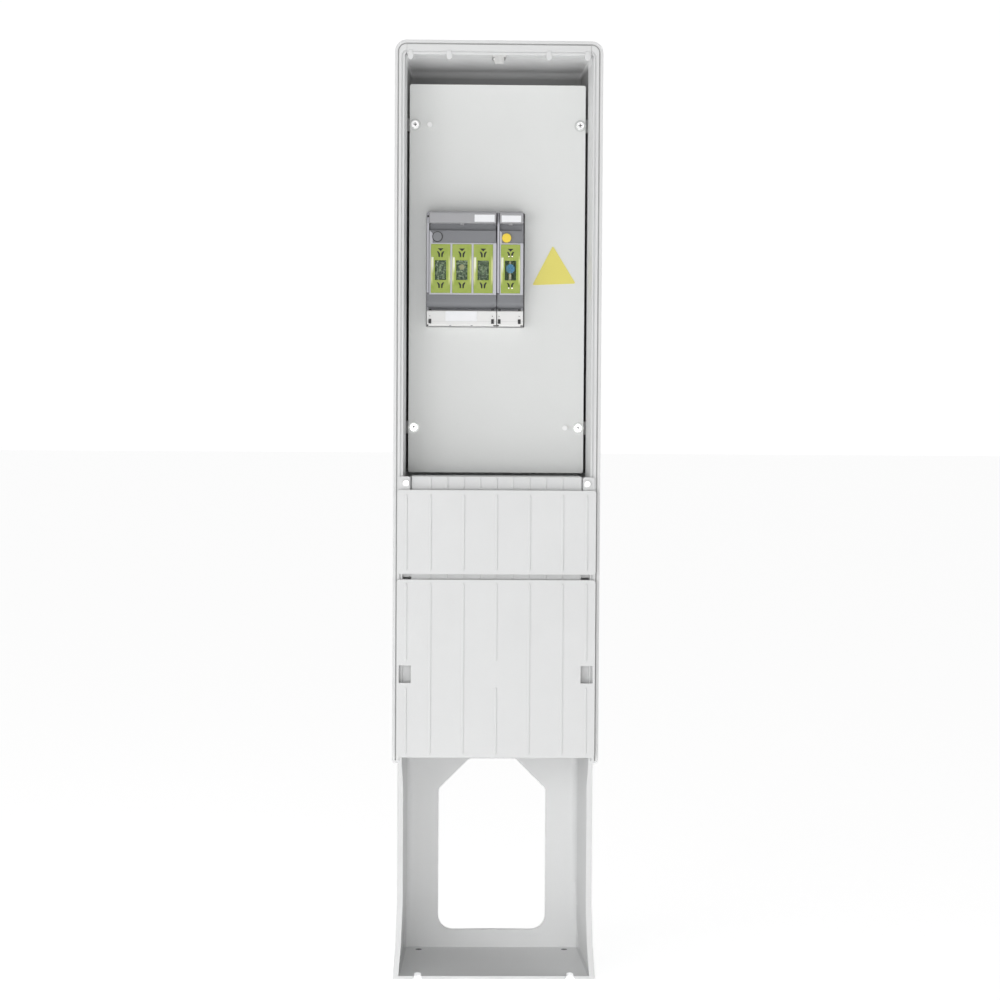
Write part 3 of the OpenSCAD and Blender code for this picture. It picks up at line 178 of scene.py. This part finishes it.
left_light, right_light, seen_light = 0.52, 0.10, 1.02
surround = bpy.data.worlds.new("surround")
bpy.context.scene.world = surround
surround.use_nodes = True
sky = surround.node_tree.nodes["Background"]
sky.inputs[0].default_value = (1, 1, 1, 1)
seen = surround.node_tree.nodes.new("ShaderNodeLightPath")
toward = surround.node_tree.nodes.new("ShaderNodeTexCoord")
parts = surround.node_tree.nodes.new("ShaderNodeSeparateXYZ")
side = surround.node_tree.nodes.new("ShaderNodeMapRange")
shade = surround.node_tree.nodes.new("ShaderNodeMapRange")
for socket, v in zip(side.inputs[1:5], (-1.0, 1.0, left_light, right_light)):
    socket.default_value = v
shade.inputs[4].default_value = seen_light
for source, target in ((toward.outputs["Generated"], parts.inputs[0]), (parts.outputs[0], side.inputs[0]),
                       (seen.outputs["Is Camera Ray"], shade.inputs[0]), (side.outputs[0], shade.inputs[3]),
                       (shade.outputs[0], sky.inputs[1])):
    surround.node_tree.links.new(source, target)
bpy.context.scene.view_settings.view_transform = "Standard"


def lamp(name, place, aim, size, power, spread=math.pi):
    """A square lamp that shines from place to aim and isn't seen itself."""
    light = bpy.data.lights.new(name, "AREA")
    light.shape, light.size, light.energy, light.spread = "SQUARE", size, power, spread
    holder = bpy.data.objects.new(name, light)
    holder.matrix_world = Matrix.Translation(place) @ (
        Vector(aim) - Vector(place)).to_track_quat("-Z", "Y").to_matrix().to_4x4()
    holder.visible_camera = False
    bpy.context.scene.collection.objects.link(holder)


lamp("front_left_lamp", (-1.9, -3.3, 0.9), (0, 0, 0.7), 1.8, 20)
lamp("front_lamp", (-0.2, -4.4, 0.9), (0, 0, 0.7), 2.4, 16)
lamp("low_lamp", (-0.1, -2.9, 0.15), (0, 0, 1.0), 1.2, 10)
lamp("left_lamp", (-2.6, -1.6, 0.9), (0, 0, 0.8), 1.2, 5)
lamp("foot_lamp", (-0.1, -1.75, 0.14), (0, 0, 0.13), 0.25, 0.04, spread=0.45)
for name, x in (("roof_lamp_left", -0.09), ("roof_lamp_middle", 0), ("roof_lamp_right", 0.09)):
    lamp(name, (x, 0.025, 1.395), (x, 0.035, 1.44), 0.08, 0.007)


# Pillar shell. One moulding of light grey glass-filled polyester, pressed in a steel tool: the
# surface has a fine even grain, slightly cloudy, with soft edges all round.
def moulded(name, colour, cloud, grain, edge, roughness=0.55, rubbed=0.06):
    """Moulded plastic: cloudy colour, fine grain and soft, slightly rubbed edges."""
    f = Finish(name, colour, roughness)
    spot, *_ = f.place()
    rounded = f.soft_edges(edge)
    slow, fine = f.noise(spot, 9.0), f.noise(spot, 1100.0, 2.0)
    darker = tuple(c * (1 - cloud) for c in colour)
    specks = tuple(c * 0.5 for c in colour)
    lighter = tuple(min(1, c * 1.12 + 0.03) for c in colour)
    base = f.mix(slow.between(0.35, 0.7), colour, darker)
    base = f.mix(fine.between(0.42, 0.72) * 0.05, base, specks)
    f.base = f.mix(f.rub(rounded) * rubbed * 5, base, lighter)
    f.set("Base Color", f.base)
    f.set("Roughness", f.noise(spot, 40.0) * 0.14 + (roughness - 0.07))
    f.raise_by(fine, grain, rounded)
    return f


# The shell's plastic has painted shade behind the panel and in the anchor holes, and is painted
# lighter under the roof and in the foot, in place of light that reaches there. Its outside is plain, apart
# from two strips at the foot's back corners, which come out a shade lighter as the painted light reaches
# them.
body_grey = (0.775, 0.780, 0.780)
shell_plastic = moulded("shell_plastic", body_grey, 0.03, 0.03, 1.0)
panel_low, panel_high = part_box("cover_panel")
_, x, y, z = shell_plastic.place()
draft, roof_slope = math.tan(math.radians(2.1)), 0.03
past_wall, past_back, past_roof = 146.5 * MM, 103 * MM, 1440.5 * MM
width, depth = abs(x), y - lip_front
within = (width + depth * draft).below(past_wall) * y.below(past_back)
within = within * (z + depth * roof_slope).below(past_roof)

# Painted shade: dark behind the panel, except for a band above its top edge, and in the anchor holes.
unshaded_from, unshaded_up = panel_high.z + 26 * MM, panel_high.z + 37 * MM
behind = y.above(panel_high.y - 0.3 * MM) * z.above(panel_low.z) * (1 - z.between(unshaded_from, unshaded_up))
anchor_x, anchor_y, anchor_r, under_floor = 119 * MM, 87.5 * MM, 6 * MM, 4.6 * MM
aside, along = width - anchor_x, y - anchor_y
holes = z.below(under_floor) * (aside * aside + along * along).below(anchor_r ** 2)
painted_shade = behind * within * 0.68 + holes * 0.9

# Painted light: the foot's back and floor inside and the roof's underside are coloured lighter, in place of
# light that reaches them.
foot_back = z.below(335 * MM) * y.above(80 * MM)
foot_floor = z.below(6 * MM) * z.above(0.5 * MM) * y.above(-95 * MM)
under_roof = z.above(1421.5 * MM) * y.above(-80 * MM)
painted_light = (foot_back + foot_floor + under_roof) * within
painted_light_base = shell_plastic.mix(painted_light, shell_plastic.base, (0.88, 0.885, 0.885))
shell_plastic.set("Base Color", shell_plastic.mix(painted_shade, painted_light_base, (0.05, 0.05, 0.05)))
shell_plastic.on("pillar_shell")

# Roof rail and cable covers. The same light grey plastic as the shell, moulded separately. The rail
# lies in the top of the lip, where the door hangs from it, and two screws hold each cover.
body_plastic = moulded("body_plastic", body_grey, 0.03, 0.03, 1.0)
body_plastic.on("roof_rail", "upper_cover", "lower_cover")

# Touch-proof panel. Sheet of pressed light grey plastic, sawn to size and held by four screws with
# washers.
panel_plastic = moulded("panel_plastic", (0.775, 0.785, 0.775), 0.02, 0.02, 0.6)
panel_plastic.on("cover_panel")


# Small steel pieces. Screws, washers, nuts, posts, pins, the keeper, the plate and the cable rail are
# plated or stainless steel, faintly streaked along the way they were drawn.
def metal(name, colour, roughness, streak=(60, 60, 900)):
    """Drawn metal: spotty colour and fine streaks, which change as fast as streak says along x, y and z."""
    f = Finish(name, colour, roughness, 1.0)
    spot, *_ = f.place()
    drawn = f.node("ShaderNodeMapping", {}, {"Vector": spot, "Scale": streak})
    lines, spots = f.noise(drawn, 1.0, 4.0), f.noise(spot, 160.0)
    f.set("Base Color", f.mix(spots.between(0.45, 0.75) * 0.5, colour, tuple(c * 0.72 for c in colour)))
    f.set("Roughness", lines * 0.2 + (roughness - 0.08))
    f.raise_by(lines, 0.01, f.soft_edges(0.3))
    return f


stainless = metal("stainless", (0.72, 0.72, 0.71), 0.30)
stainless.on("lock_keeper", "keeper_screws", "upper_cover_screws", "lower_cover_screws",
             "switch3_hinge_pin", "switch1_hinge_pin")
bright_steel = metal("bright_steel", (0.97, 0.97, 0.97), 0.22)
bright_steel.on("panel_screws")
zinc = metal("zinc", (0.62, 0.63, 0.62), 0.42, (400, 30, 30))
zinc.on("panel_washers", "mounting_plate", "plate_posts", "plate_nuts", "cable_rail", "cable_rail_bolts",
        "clamp_bolts", "switch3_base_screws", "switch1_base_screws", "switch3_terminal_screws",
        "switch1_terminal_screws")

# Sealing studs. Two headed pins that go through the panel beside its upper left and lower right screws,
# each with a hexagon behind. Their plain near-white colour is a painted highlight, in place of their glint.
stud_painted_glint = moulded("stud_painted_glint", (0.96, 0.96, 0.96), 0.01, 0.01, 0.3, 0.3)
stud_painted_glint.on("sealing_studs")

# Cable clamps. Black glass-filled nylon, matt and slightly speckled, moulded in halves with a bore
# for the cable between them and bolts through both.
clamp_nylon = moulded("clamp_nylon", (0.028, 0.028, 0.030), 0.1, 0.04, 0.6, 0.5)
clamp_nylon.on("clamp_backs", "clamp_fronts")

# Contacts, terminals and ends of the fuse links. Jaws, bars, end plates and blades are nickel-plated
# copper; the terminals are brass blocks with a screw in each.
nickel = metal("nickel", (0.74, 0.71, 0.66), 0.25)
nickel.on("switch3_contacts", "switch1_contacts", "fuse_ends")
brass = metal("brass", (0.70, 0.50, 0.22), 0.35)
brass.on("switch3_terminals", "switch1_terminals")

# Fuse switches. Bases and window frames are pale lavender-grey plastic; lids and one button are
# mid grey, the grips a lighter grey and the other button yellow, all with a fine matt grain.
base_plastic = moulded("base_plastic", (0.56, 0.56, 0.60), 0.04, 0.02, 0.5, 0.5)
base_plastic.on("switch3_base", "switch1_base", "switch3_window_frame", "switch1_window_frame")
lid_plastic = moulded("lid_plastic", (0.225, 0.23, 0.245), 0.05, 0.02, 0.6, 0.45, 0.03)
lid_plastic.on("switch3_lid", "switch1_lid", "switch3_lock_button")
grip_plastic = moulded("grip_plastic", (0.39, 0.39, 0.405), 0.05, 0.02, 1.4, 0.42, 0.04)
grip_plastic.on("switch3_grip", "switch1_grip")
yellow_plastic = moulded("yellow_plastic", (0.93, 0.69, 0.06), 0.04, 0.01, 0.6, 0.35)
yellow_plastic.on("switch1_lock_button")

# Neutral link. Knife blades of copper, dull apart from a narrow bright line down their middle, with a
# blue plastic disc in front.
link_low, link_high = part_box("neutral_link")
middle1, link_z = (link_low.x + link_high.x) / 2 / MM, (link_low.z + link_high.z) / 2 / MM
copper = metal("copper", (0.85, 0.72, 0.55), 0.3)
_, x, *_ = copper.place()
bright_line_w = 0.9
# A narrow bright line is coloured down the middle of each blade; the rest is dark.
bright_line = abs(x - middle1 * MM).below(bright_line_w * MM)
copper.set("Base Color", copper.mix(bright_line, (0.20, 0.19, 0.12), (0.98, 0.93, 0.72)))
copper.on("neutral_link")
blue_plastic = moulded("blue_plastic", (0.12, 0.48, 0.95), 0.04, 0.01, 0.4, 0.3)
blue_plastic.on("neutral_disc")

# Fuse links. Dark glazed ceramic bodies with an indicator in front of each, which is cream in the
# middle pole and as dark as its body in the other two.
bodies_low, bodies_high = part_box("fuse_bodies")
body_w, half_w = 21, 10
middle3 = (bodies_low.x + bodies_high.x) / 2 / MM
pitch = ((bodies_high.x - bodies_low.x) / MM - body_w) / 2
middles3 = (middle3 - pitch, middle3, middle3 + pitch)
indicator = Finish("indicator", roughness=0.35)
spot, x, *_ = indicator.place()
faded = indicator.noise(spot, 300.0) * 0.1
inside = abs(x - middle3 * MM).below(half_w * MM)
indicator.set("Base Color", indicator.mix(inside - faded * 0.5, (0.11, 0.16, 0.10), (0.90, 0.84, 0.46)))
indicator.set("Roughness", faded + 0.3)
indicator.on("fuse_indicators")
glazed = moulded("glazed_ceramic", (0.10, 0.14, 0.10), 0.2, 0.02, 1.0, 0.2)
glazed.on("fuse_bodies")


# Windows. Yellow-green tinted plastic, injection moulded and a little cloudy from handling, with test
# slots above and below a thinner view field. Each pane sits in an opening of the window frame.
def see_through(name, colour, roughness, edge):
    """Hazy see-through plastic with soft edges, whose colour and alpha are still to be set."""
    f = Finish(name, colour, roughness)
    spot, *_ = f.place()
    f.rounded, f.haze = f.soft_edges(edge), f.noise(spot, 70.0)
    f.set("Roughness", f.haze * 0.1 + (roughness - 0.05))
    f.raise_by(f.haze, 0.02, f.rounded)
    f.material.surface_render_method = "BLENDED"
    return f


def tinted_window(name, middles, glint):
    """Nearly opaque panes, with a view field over each link, painted light along their edges and a painted
    highlight streak.
    The fields are painted shade of the switch's dark inside, with painted glints where their noise is above
    glint."""
    f = see_through(name, (0.34, 0.44, 0.06), 0.15, 0.7)
    field_w, field_h, field_drop = 8.8, 15.3, 2.5
    edge_light_near, edge_light_far = 11.4, 13.8
    streak_near, streak_far, streak_top = 11, 14.3, 17.5
    spot, x, _, z = f.place()
    aside = abs(x - middles[0] * MM)
    for middle in middles[1:]:
        aside = aside.least(abs(x - middle * MM))
    up = abs(z - (link_z - field_drop) * MM)
    field = aside.below(field_w * MM) * up.below(field_h * MM)
    # Painted light along each pane's side edges, and a painted highlight streak beside each field's left
    # edge.
    painted_edge_light = aside.between(edge_light_near * MM, edge_light_far * MM) * (1 - up.between(14 * MM, 24 * MM))
    streak = sum(x.above((middle - streak_far) * MM) * x.below((middle - streak_near) * MM)
                 for middle in middles)
    streak = streak * z.between((link_z - 8) * MM, (link_z + 4) * MM) * z.below((link_z + streak_top) * MM)
    clouds = f.noise(spot, 90.0).between(0.35, 0.7)
    blots = f.noise(spot, 240.0, 2.0).between(0.42, 0.62)
    glints = f.noise(spot, 310.0, 2.0, 0.4).between(glint, glint + 0.09)
    tint = f.mix(clouds, (0.33, 0.43, 0.06), (0.39, 0.47, 0.10))
    tint = f.mix(painted_edge_light * 0.75, tint, (0.86, 0.88, 0.42))
    tint = f.mix(streak * 0.85, tint, (0.98, 0.98, 0.80))
    # Painted shade: the field's own dark green stands in for the shade inside the switch, mottled by the
    # blots; painted glints lighten it in patches.
    painted_field_shade = f.mix(blots, (0.03, 0.09, 0.04), (0.16, 0.27, 0.12))
    f.set("Base Color", f.mix(field, tint, f.mix(glints, painted_field_shade, (0.42, 0.54, 0.33))))
    f.set("Alpha", 0.96 - field * (0.82 - blots * 0.10 - glints * 0.25))
    return f


tinted_window("tinted_windows", middles3, 0.52).on("switch3_windows")
tinted_window("tinted_window", (middle1,), 0.8).on("switch1_window")

# Terminal covers. Clear injection moulded hoods over the lower terminals, a little cloudy from
# handling, with a faint fold line near the lower edge.
cover_corner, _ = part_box("switch3_terminal_cover")
cover_y, cover_low = cover_corner.y / MM, cover_corner.z / MM
clear = see_through("clear_cover", (0.95, 0.95, 0.94), 0.2, 0.5)
*_, z = clear.place()
fold_up, fold_w = 7.6, 0.3
fold = abs(z - (cover_low + fold_up) * MM).below(fold_w * MM)
clear.set("Base Color", clear.mix(fold * 0.35 + clear.haze * 0.06, (0.95, 0.95, 0.94), (0.45, 0.45, 0.46)))
clear.set("Alpha", clear.haze * 0.08 + 0.81 + clear.rub(clear.rounded) * 0.5)
clear.on("switch3_terminal_cover", "switch1_terminal_cover")


# Latches of the terminal covers. Black nylon hooks moulded in pairs at both ends of each cover,
# with a small foot at the lower corner.
def plate(bm, low, high, depth, corner=0.3):
    """A flat plate in X and Z with rounded corners, its back at low's y, depth thick; millimetres."""
    part = bmesh.new()
    bmesh.ops.create_grid(part, x_segments=1, y_segments=1, size=0.5)
    bmesh.ops.scale(part, verts=part.verts[:], vec=(high[0] - low[0], high[1] - low[1], 1))
    bmesh.ops.bevel(part, geom=part.verts[:], offset=corner, offset_type="OFFSET", segments=4, profile=0.5,
                    affect="VERTICES", material=-1)
    front = bmesh.ops.extrude_face_region(part, geom=part.faces[:])["geom"]
    bmesh.ops.translate(part, verts=[v for v in front if isinstance(v, bmesh.types.BMVert)],
                        vec=(0, 0, depth))
    centre = ((low[0] + high[0]) / 2, low[2], (low[1] + high[1]) / 2)
    bmesh.ops.transform(part, verts=part.verts[:], matrix=Matrix.Scale(MM, 4) @ Matrix.Translation(
        centre) @ Matrix.Rotation(math.pi / 2, 4, "X"))
    made = bpy.data.meshes.new("part")
    part.to_mesh(made)
    part.free()
    bm.from_mesh(made)
    bpy.data.meshes.remove(made)


def on_cover(bm, left, right, bottom, top, sunk, depth, corner):
    """A plate on the front of the terminal covers, its heights measured from their lower edge."""
    plate(bm, (left, cover_low + bottom, cover_y + sunk), (right, cover_low + top), depth, corner)


def piece(name, bm, finish, body="pillar"):
    """Make an object of the mesh, with its finish, and let it ride on its body."""
    bmesh.ops.remove_doubles(bm, verts=bm.verts[:], dist=1e-6)
    bmesh.ops.recalc_face_normals(bm, faces=bm.faces[:])
    mesh = bpy.data.meshes.new(name)
    bm.to_mesh(mesh)
    bm.free()
    made = bpy.data.objects.new(name, mesh)
    bpy.context.scene.collection.objects.link(made)
    finish.on(made)
    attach(made, body)


# Black nylon for the latches and the fin's stop; the same black also makes the sheets of painted shade on
# the screws, behind the test slots and round the lock button.
black_nylon_and_shade = moulded("black_nylon_and_shade", (0.020, 0.020, 0.022), 0.1, 0.02, 0.3, 0.4)
hook_w, hook_inset = 4.4, 3.8
for name, cover, inset, foot_w in (("switch3_latches", "switch3_terminal_cover", 2.6, 4.6),
                                   ("switch1_latches", "switch1_terminal_cover", 1.0, 4.0)):
    left, right = (corner.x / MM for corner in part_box(cover))
    bm = bmesh.new()
    for x in (left + inset, right - hook_inset - hook_w):
        on_cover(bm, x, x + hook_w, 4, 11.2, 0.4, 1.0, 0.7)
        on_cover(bm, x + 1.4, x + 2.6, 15.2, 16.4, 0.4, 0.8, 0.2)
        on_cover(bm, x + 0.2, x + 4.6, 24.4, 27, 0.6, 1.3, 0.5)
    on_cover(bm, left + 0.1, left + 2.6, 0.1, 2.2, 0.8, 1.2, 0.4)
    on_cover(bm, right - 0.2 - foot_w, right - 0.2, 0.1, 1.7, 0.8, 1.2, 0.4)
    piece(name, bm, black_nylon_and_shade)

# Ribs and nibs of the terminal covers. Dark grey plastic strips just behind the one-pole cover's front,
# and two small nibs close above the three-pole cover's lower edge.
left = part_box("switch1_terminal_cover")[0].x / MM
bm = bmesh.new()
on_cover(bm, left + 6.8, left + 7.5, 12, 22.6, 1.2, 0.5, 0.2)
on_cover(bm, left + 12.2, left + 13.7, 13, 22.2, 1.2, 0.5, 0.3)
on_cover(bm, left + 7, left + 11.6, 7.8, 9.4, 1.2, 0.5, 0.4)
piece("switch1_cover_ribs", bm, lid_plastic)
bm = bmesh.new()
for x in (-73.0, -39.5):
    on_cover(bm, x - 1.6, x + 1.6, 0.5, 1.6, 0.9, 0.5, 0.5)
piece("switch3_cover_nibs", bm, lid_plastic)

# Door seal. Grey rubber cord pressed into the groove of the lip, up both sides and over the top, and
# cut off square at both lower ends.
groove_x, groove_top, bend, low_end, cord_y = 154.6, 1447.6, 12.6, 343.5, -95.2
cord_w, cord_d = 1.5, 3
bm = bmesh.new()
bmesh.ops.create_grid(bm, x_segments=1, y_segments=1, size=0.5)
bmesh.ops.transform(bm, verts=bm.verts[:], matrix=Matrix.Scale(MM, 4) @ Matrix.Translation(
    (-groove_x, cord_y, low_end)) @ Matrix.Diagonal((cord_w, cord_d, 1, 1)))


def onward(bm, end, way):
    """Pull the cord's end face straight on and give the new end."""
    made = bmesh.ops.extrude_face_region(bm, geom=end)["geom"]
    bmesh.ops.translate(bm, verts=[v for v in made if isinstance(v, bmesh.types.BMVert)],
                        vec=Vector(way) * MM)
    return [v for v in made if isinstance(v, bmesh.types.BMFace)]


def around(bm, end, x):
    """Turn the cord's end face through a quarter circle round a corner of the lip."""
    made = bmesh.ops.spin(bm, geom=end, cent=Vector((x, 0, groove_top - bend)) * MM, axis=(0, 1, 0),
                          angle=math.pi / 2, steps=12)["geom_last"]
    return [v for v in made if isinstance(v, bmesh.types.BMFace)]


end = onward(bm, bm.faces[:], (0, 0, groove_top - bend - low_end))
end = around(bm, end, bend - groove_x)
end = onward(bm, end, (2 * (groove_x - bend), 0, 0))
end = around(bm, end, groove_x - bend)
onward(bm, end, (0, 0, low_end - groove_top + bend))
# Its grey, darker than the lip, is partly painted shade of the groove.
seal_rubber_groove_shade = moulded("seal_rubber_groove_shade", (0.42, 0.42, 0.42), 0.05, 0.02, 0.3, 0.6)
piece("door_seal", bm, seal_rubber_groove_shade)

# Screw slots of the panel. Crosses of black sheet on the heads of its four screws, with arms of equal
# length: painted shade standing in for their dark cross recesses.
screw_x, screw_upper, screw_lower = 129.5, 1333, 859
arm, half_slot = 2.8, 0.6
head_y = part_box("panel_screws")[0].y / MM + 0.1
bm = bmesh.new()
for z in (screw_upper, screw_lower):
    for x in (-screw_x, screw_x):
        for out, up in ((arm, half_slot), (half_slot, arm)):
            plate(bm, (x - out, z - up, head_y), (x + out, z + up), 0.25)
piece("panel_screw_slot_shade", bm, black_nylon_and_shade)

# Shade behind the test slots of the windows. Black plates just behind the panes, one above and one below
# each view field: painted shade standing in for the dark inside of the slots.
pane_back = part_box("switch3_windows")[1].y / MM
slot_shade_w, upper_slot_shade, lower_slot_shade = 6.4, (16.6, 32.4), (-31.6, -20.4)
for name, middles, body in (("switch3_slot_shade", middles3, "lid3"),
                            ("switch1_slot_shade", (middle1,), "lid1")):
    bm = bmesh.new()
    for x in middles:
        for low, high in (upper_slot_shade, lower_slot_shade):
            plate(bm, (x - slot_shade_w, link_z + low, pane_back + 1.3), (x + slot_shade_w, link_z + high), 1.2, 1.0)
    piece(name, bm, black_nylon_and_shade, body)

# Tips of the neutral's sprung contacts. Bright plated ends that show at the test slots of the one-pole
# window, a pair above and a pair below.
pane_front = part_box("switch1_window")[0].y / MM
apart, tips_up, tips_down, tip_w, tip_h = 2.6, 19.4, 29.8, 1.2, 1.1
bm = bmesh.new()
for x in (middle1 - apart, middle1 + apart):
    for z in (link_z + tips_up, link_z - tips_down):
        plate(bm, (x - tip_w, z - tip_h, pane_front + 0.2), (x + tip_w, z + tip_h), 0.5, 0.9)
bright_tips = metal("bright_tips", (0.98, 0.94, 0.76), 0.3)
piece("switch1_contact_tips", bm, bright_tips, "lid1")

# Ring round the three-pole switch's lock button. Thin black ring, a little deeper than the window frame
# beside it: painted shade standing in for the gap round the button.
button_low, button_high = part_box("switch3_lock_button")
frame_low, frame_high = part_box("switch3_window_frame")
button = (button_low + button_high) / 2
button.y = (frame_low.y + frame_high.y) / 2
ring_r, ring_w = 7.7 * MM, 0.9 * MM
bm = bmesh.new()
bmesh.ops.create_grid(bm, x_segments=1, y_segments=1, size=0.5)
bmesh.ops.transform(bm, verts=bm.verts[:], matrix=Matrix.Translation(button + Vector((ring_r, 0, 0))) @
                    Matrix.Diagonal((ring_w, frame_high.y - frame_low.y + 0.4 * MM, 1, 1)))
bmesh.ops.delete(bm, geom=bm.faces[:], context="FACES_ONLY")
bmesh.ops.spin(bm, geom=bm.edges[:] + bm.verts[:], cent=button, axis=(0, 1, 0), angle=math.tau, steps=64,
               use_merge=True)
piece("button3_gap_shade", bm, black_nylon_and_shade, "lid3")

# Stop on the three-pole base's fin. Small black nylon peg at its upper end, about three millimetres
# across, with rounded corners.
fin_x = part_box("switch3_base")[0].x / MM
peg_low, peg_high = 1186.2, 1189.2
bm = bmesh.new()
plate(bm, (fin_x + 0.3, peg_low, frame_high.y / MM + 0.2), (fin_x + 3.4, peg_high), 0.8, 0.8)
piece("switch3_fin_stop", bm, black_nylon_and_shade)

# Blank marking plates. Thin white plastic, one on each grip and one on the clear terminal cover,
# left plain.
plate_white = moulded("plate_white", (0.90, 0.91, 0.93), 0.02, 0.01, 0.3, 0.35)
for name, grip, left, right, low, high, body in (
        ("grip3_plate", "switch3_grip", -36.1, -4.9, 1178.5, 1189.5, "lid3"),
        ("grip1_plate", "switch1_grip", 6.0, 36.5, 1178.5, 1188.6, "lid1")):
    bm = bmesh.new()
    plate(bm, (left, low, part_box(grip)[0].y / MM + 0.05), (right, high), 0.35, 0.5)
    piece(name, bm, plate_white, body)
bm = bmesh.new()
plate(bm, (-80.6, 1024.8, cover_y + 0.05), (-31.5, 1040.4), 0.3, 0.8)
piece("terminal_plate", bm, plate_white)

# Blank triangle on the panel. Pressed plastic sheet, plain yellow, with rounded corners, stuck on
# beside the switches.
tip, left, right = Vector((87.9, 1145)), Vector((55.9, 1083)), Vector((124.2, 1086))
corner_r, sheet_t = 3 * MM, 0.7 * MM
bm = bmesh.new()
corners = [bm.verts.new((p.x * MM, panel_low.y - 0.02 * MM, p.y * MM)) for p in (left, right, tip)]
bm.faces.new(corners)
bmesh.ops.bevel(bm, geom=corners, offset=corner_r, offset_type="OFFSET", segments=6, profile=0.5,
                affect="VERTICES", material=-1)
raised = bmesh.ops.extrude_face_region(bm, geom=bm.faces[:])["geom"]
bmesh.ops.translate(bm, verts=[v for v in raised if isinstance(v, bmesh.types.BMVert)], vec=(0, -sheet_t, 0))
sign_yellow = moulded("sign_yellow", (0.80, 0.72, 0.16), 0.03, 0.01, 0.3, 0.4)
piece("blank_triangle", bm, sign_yellow)
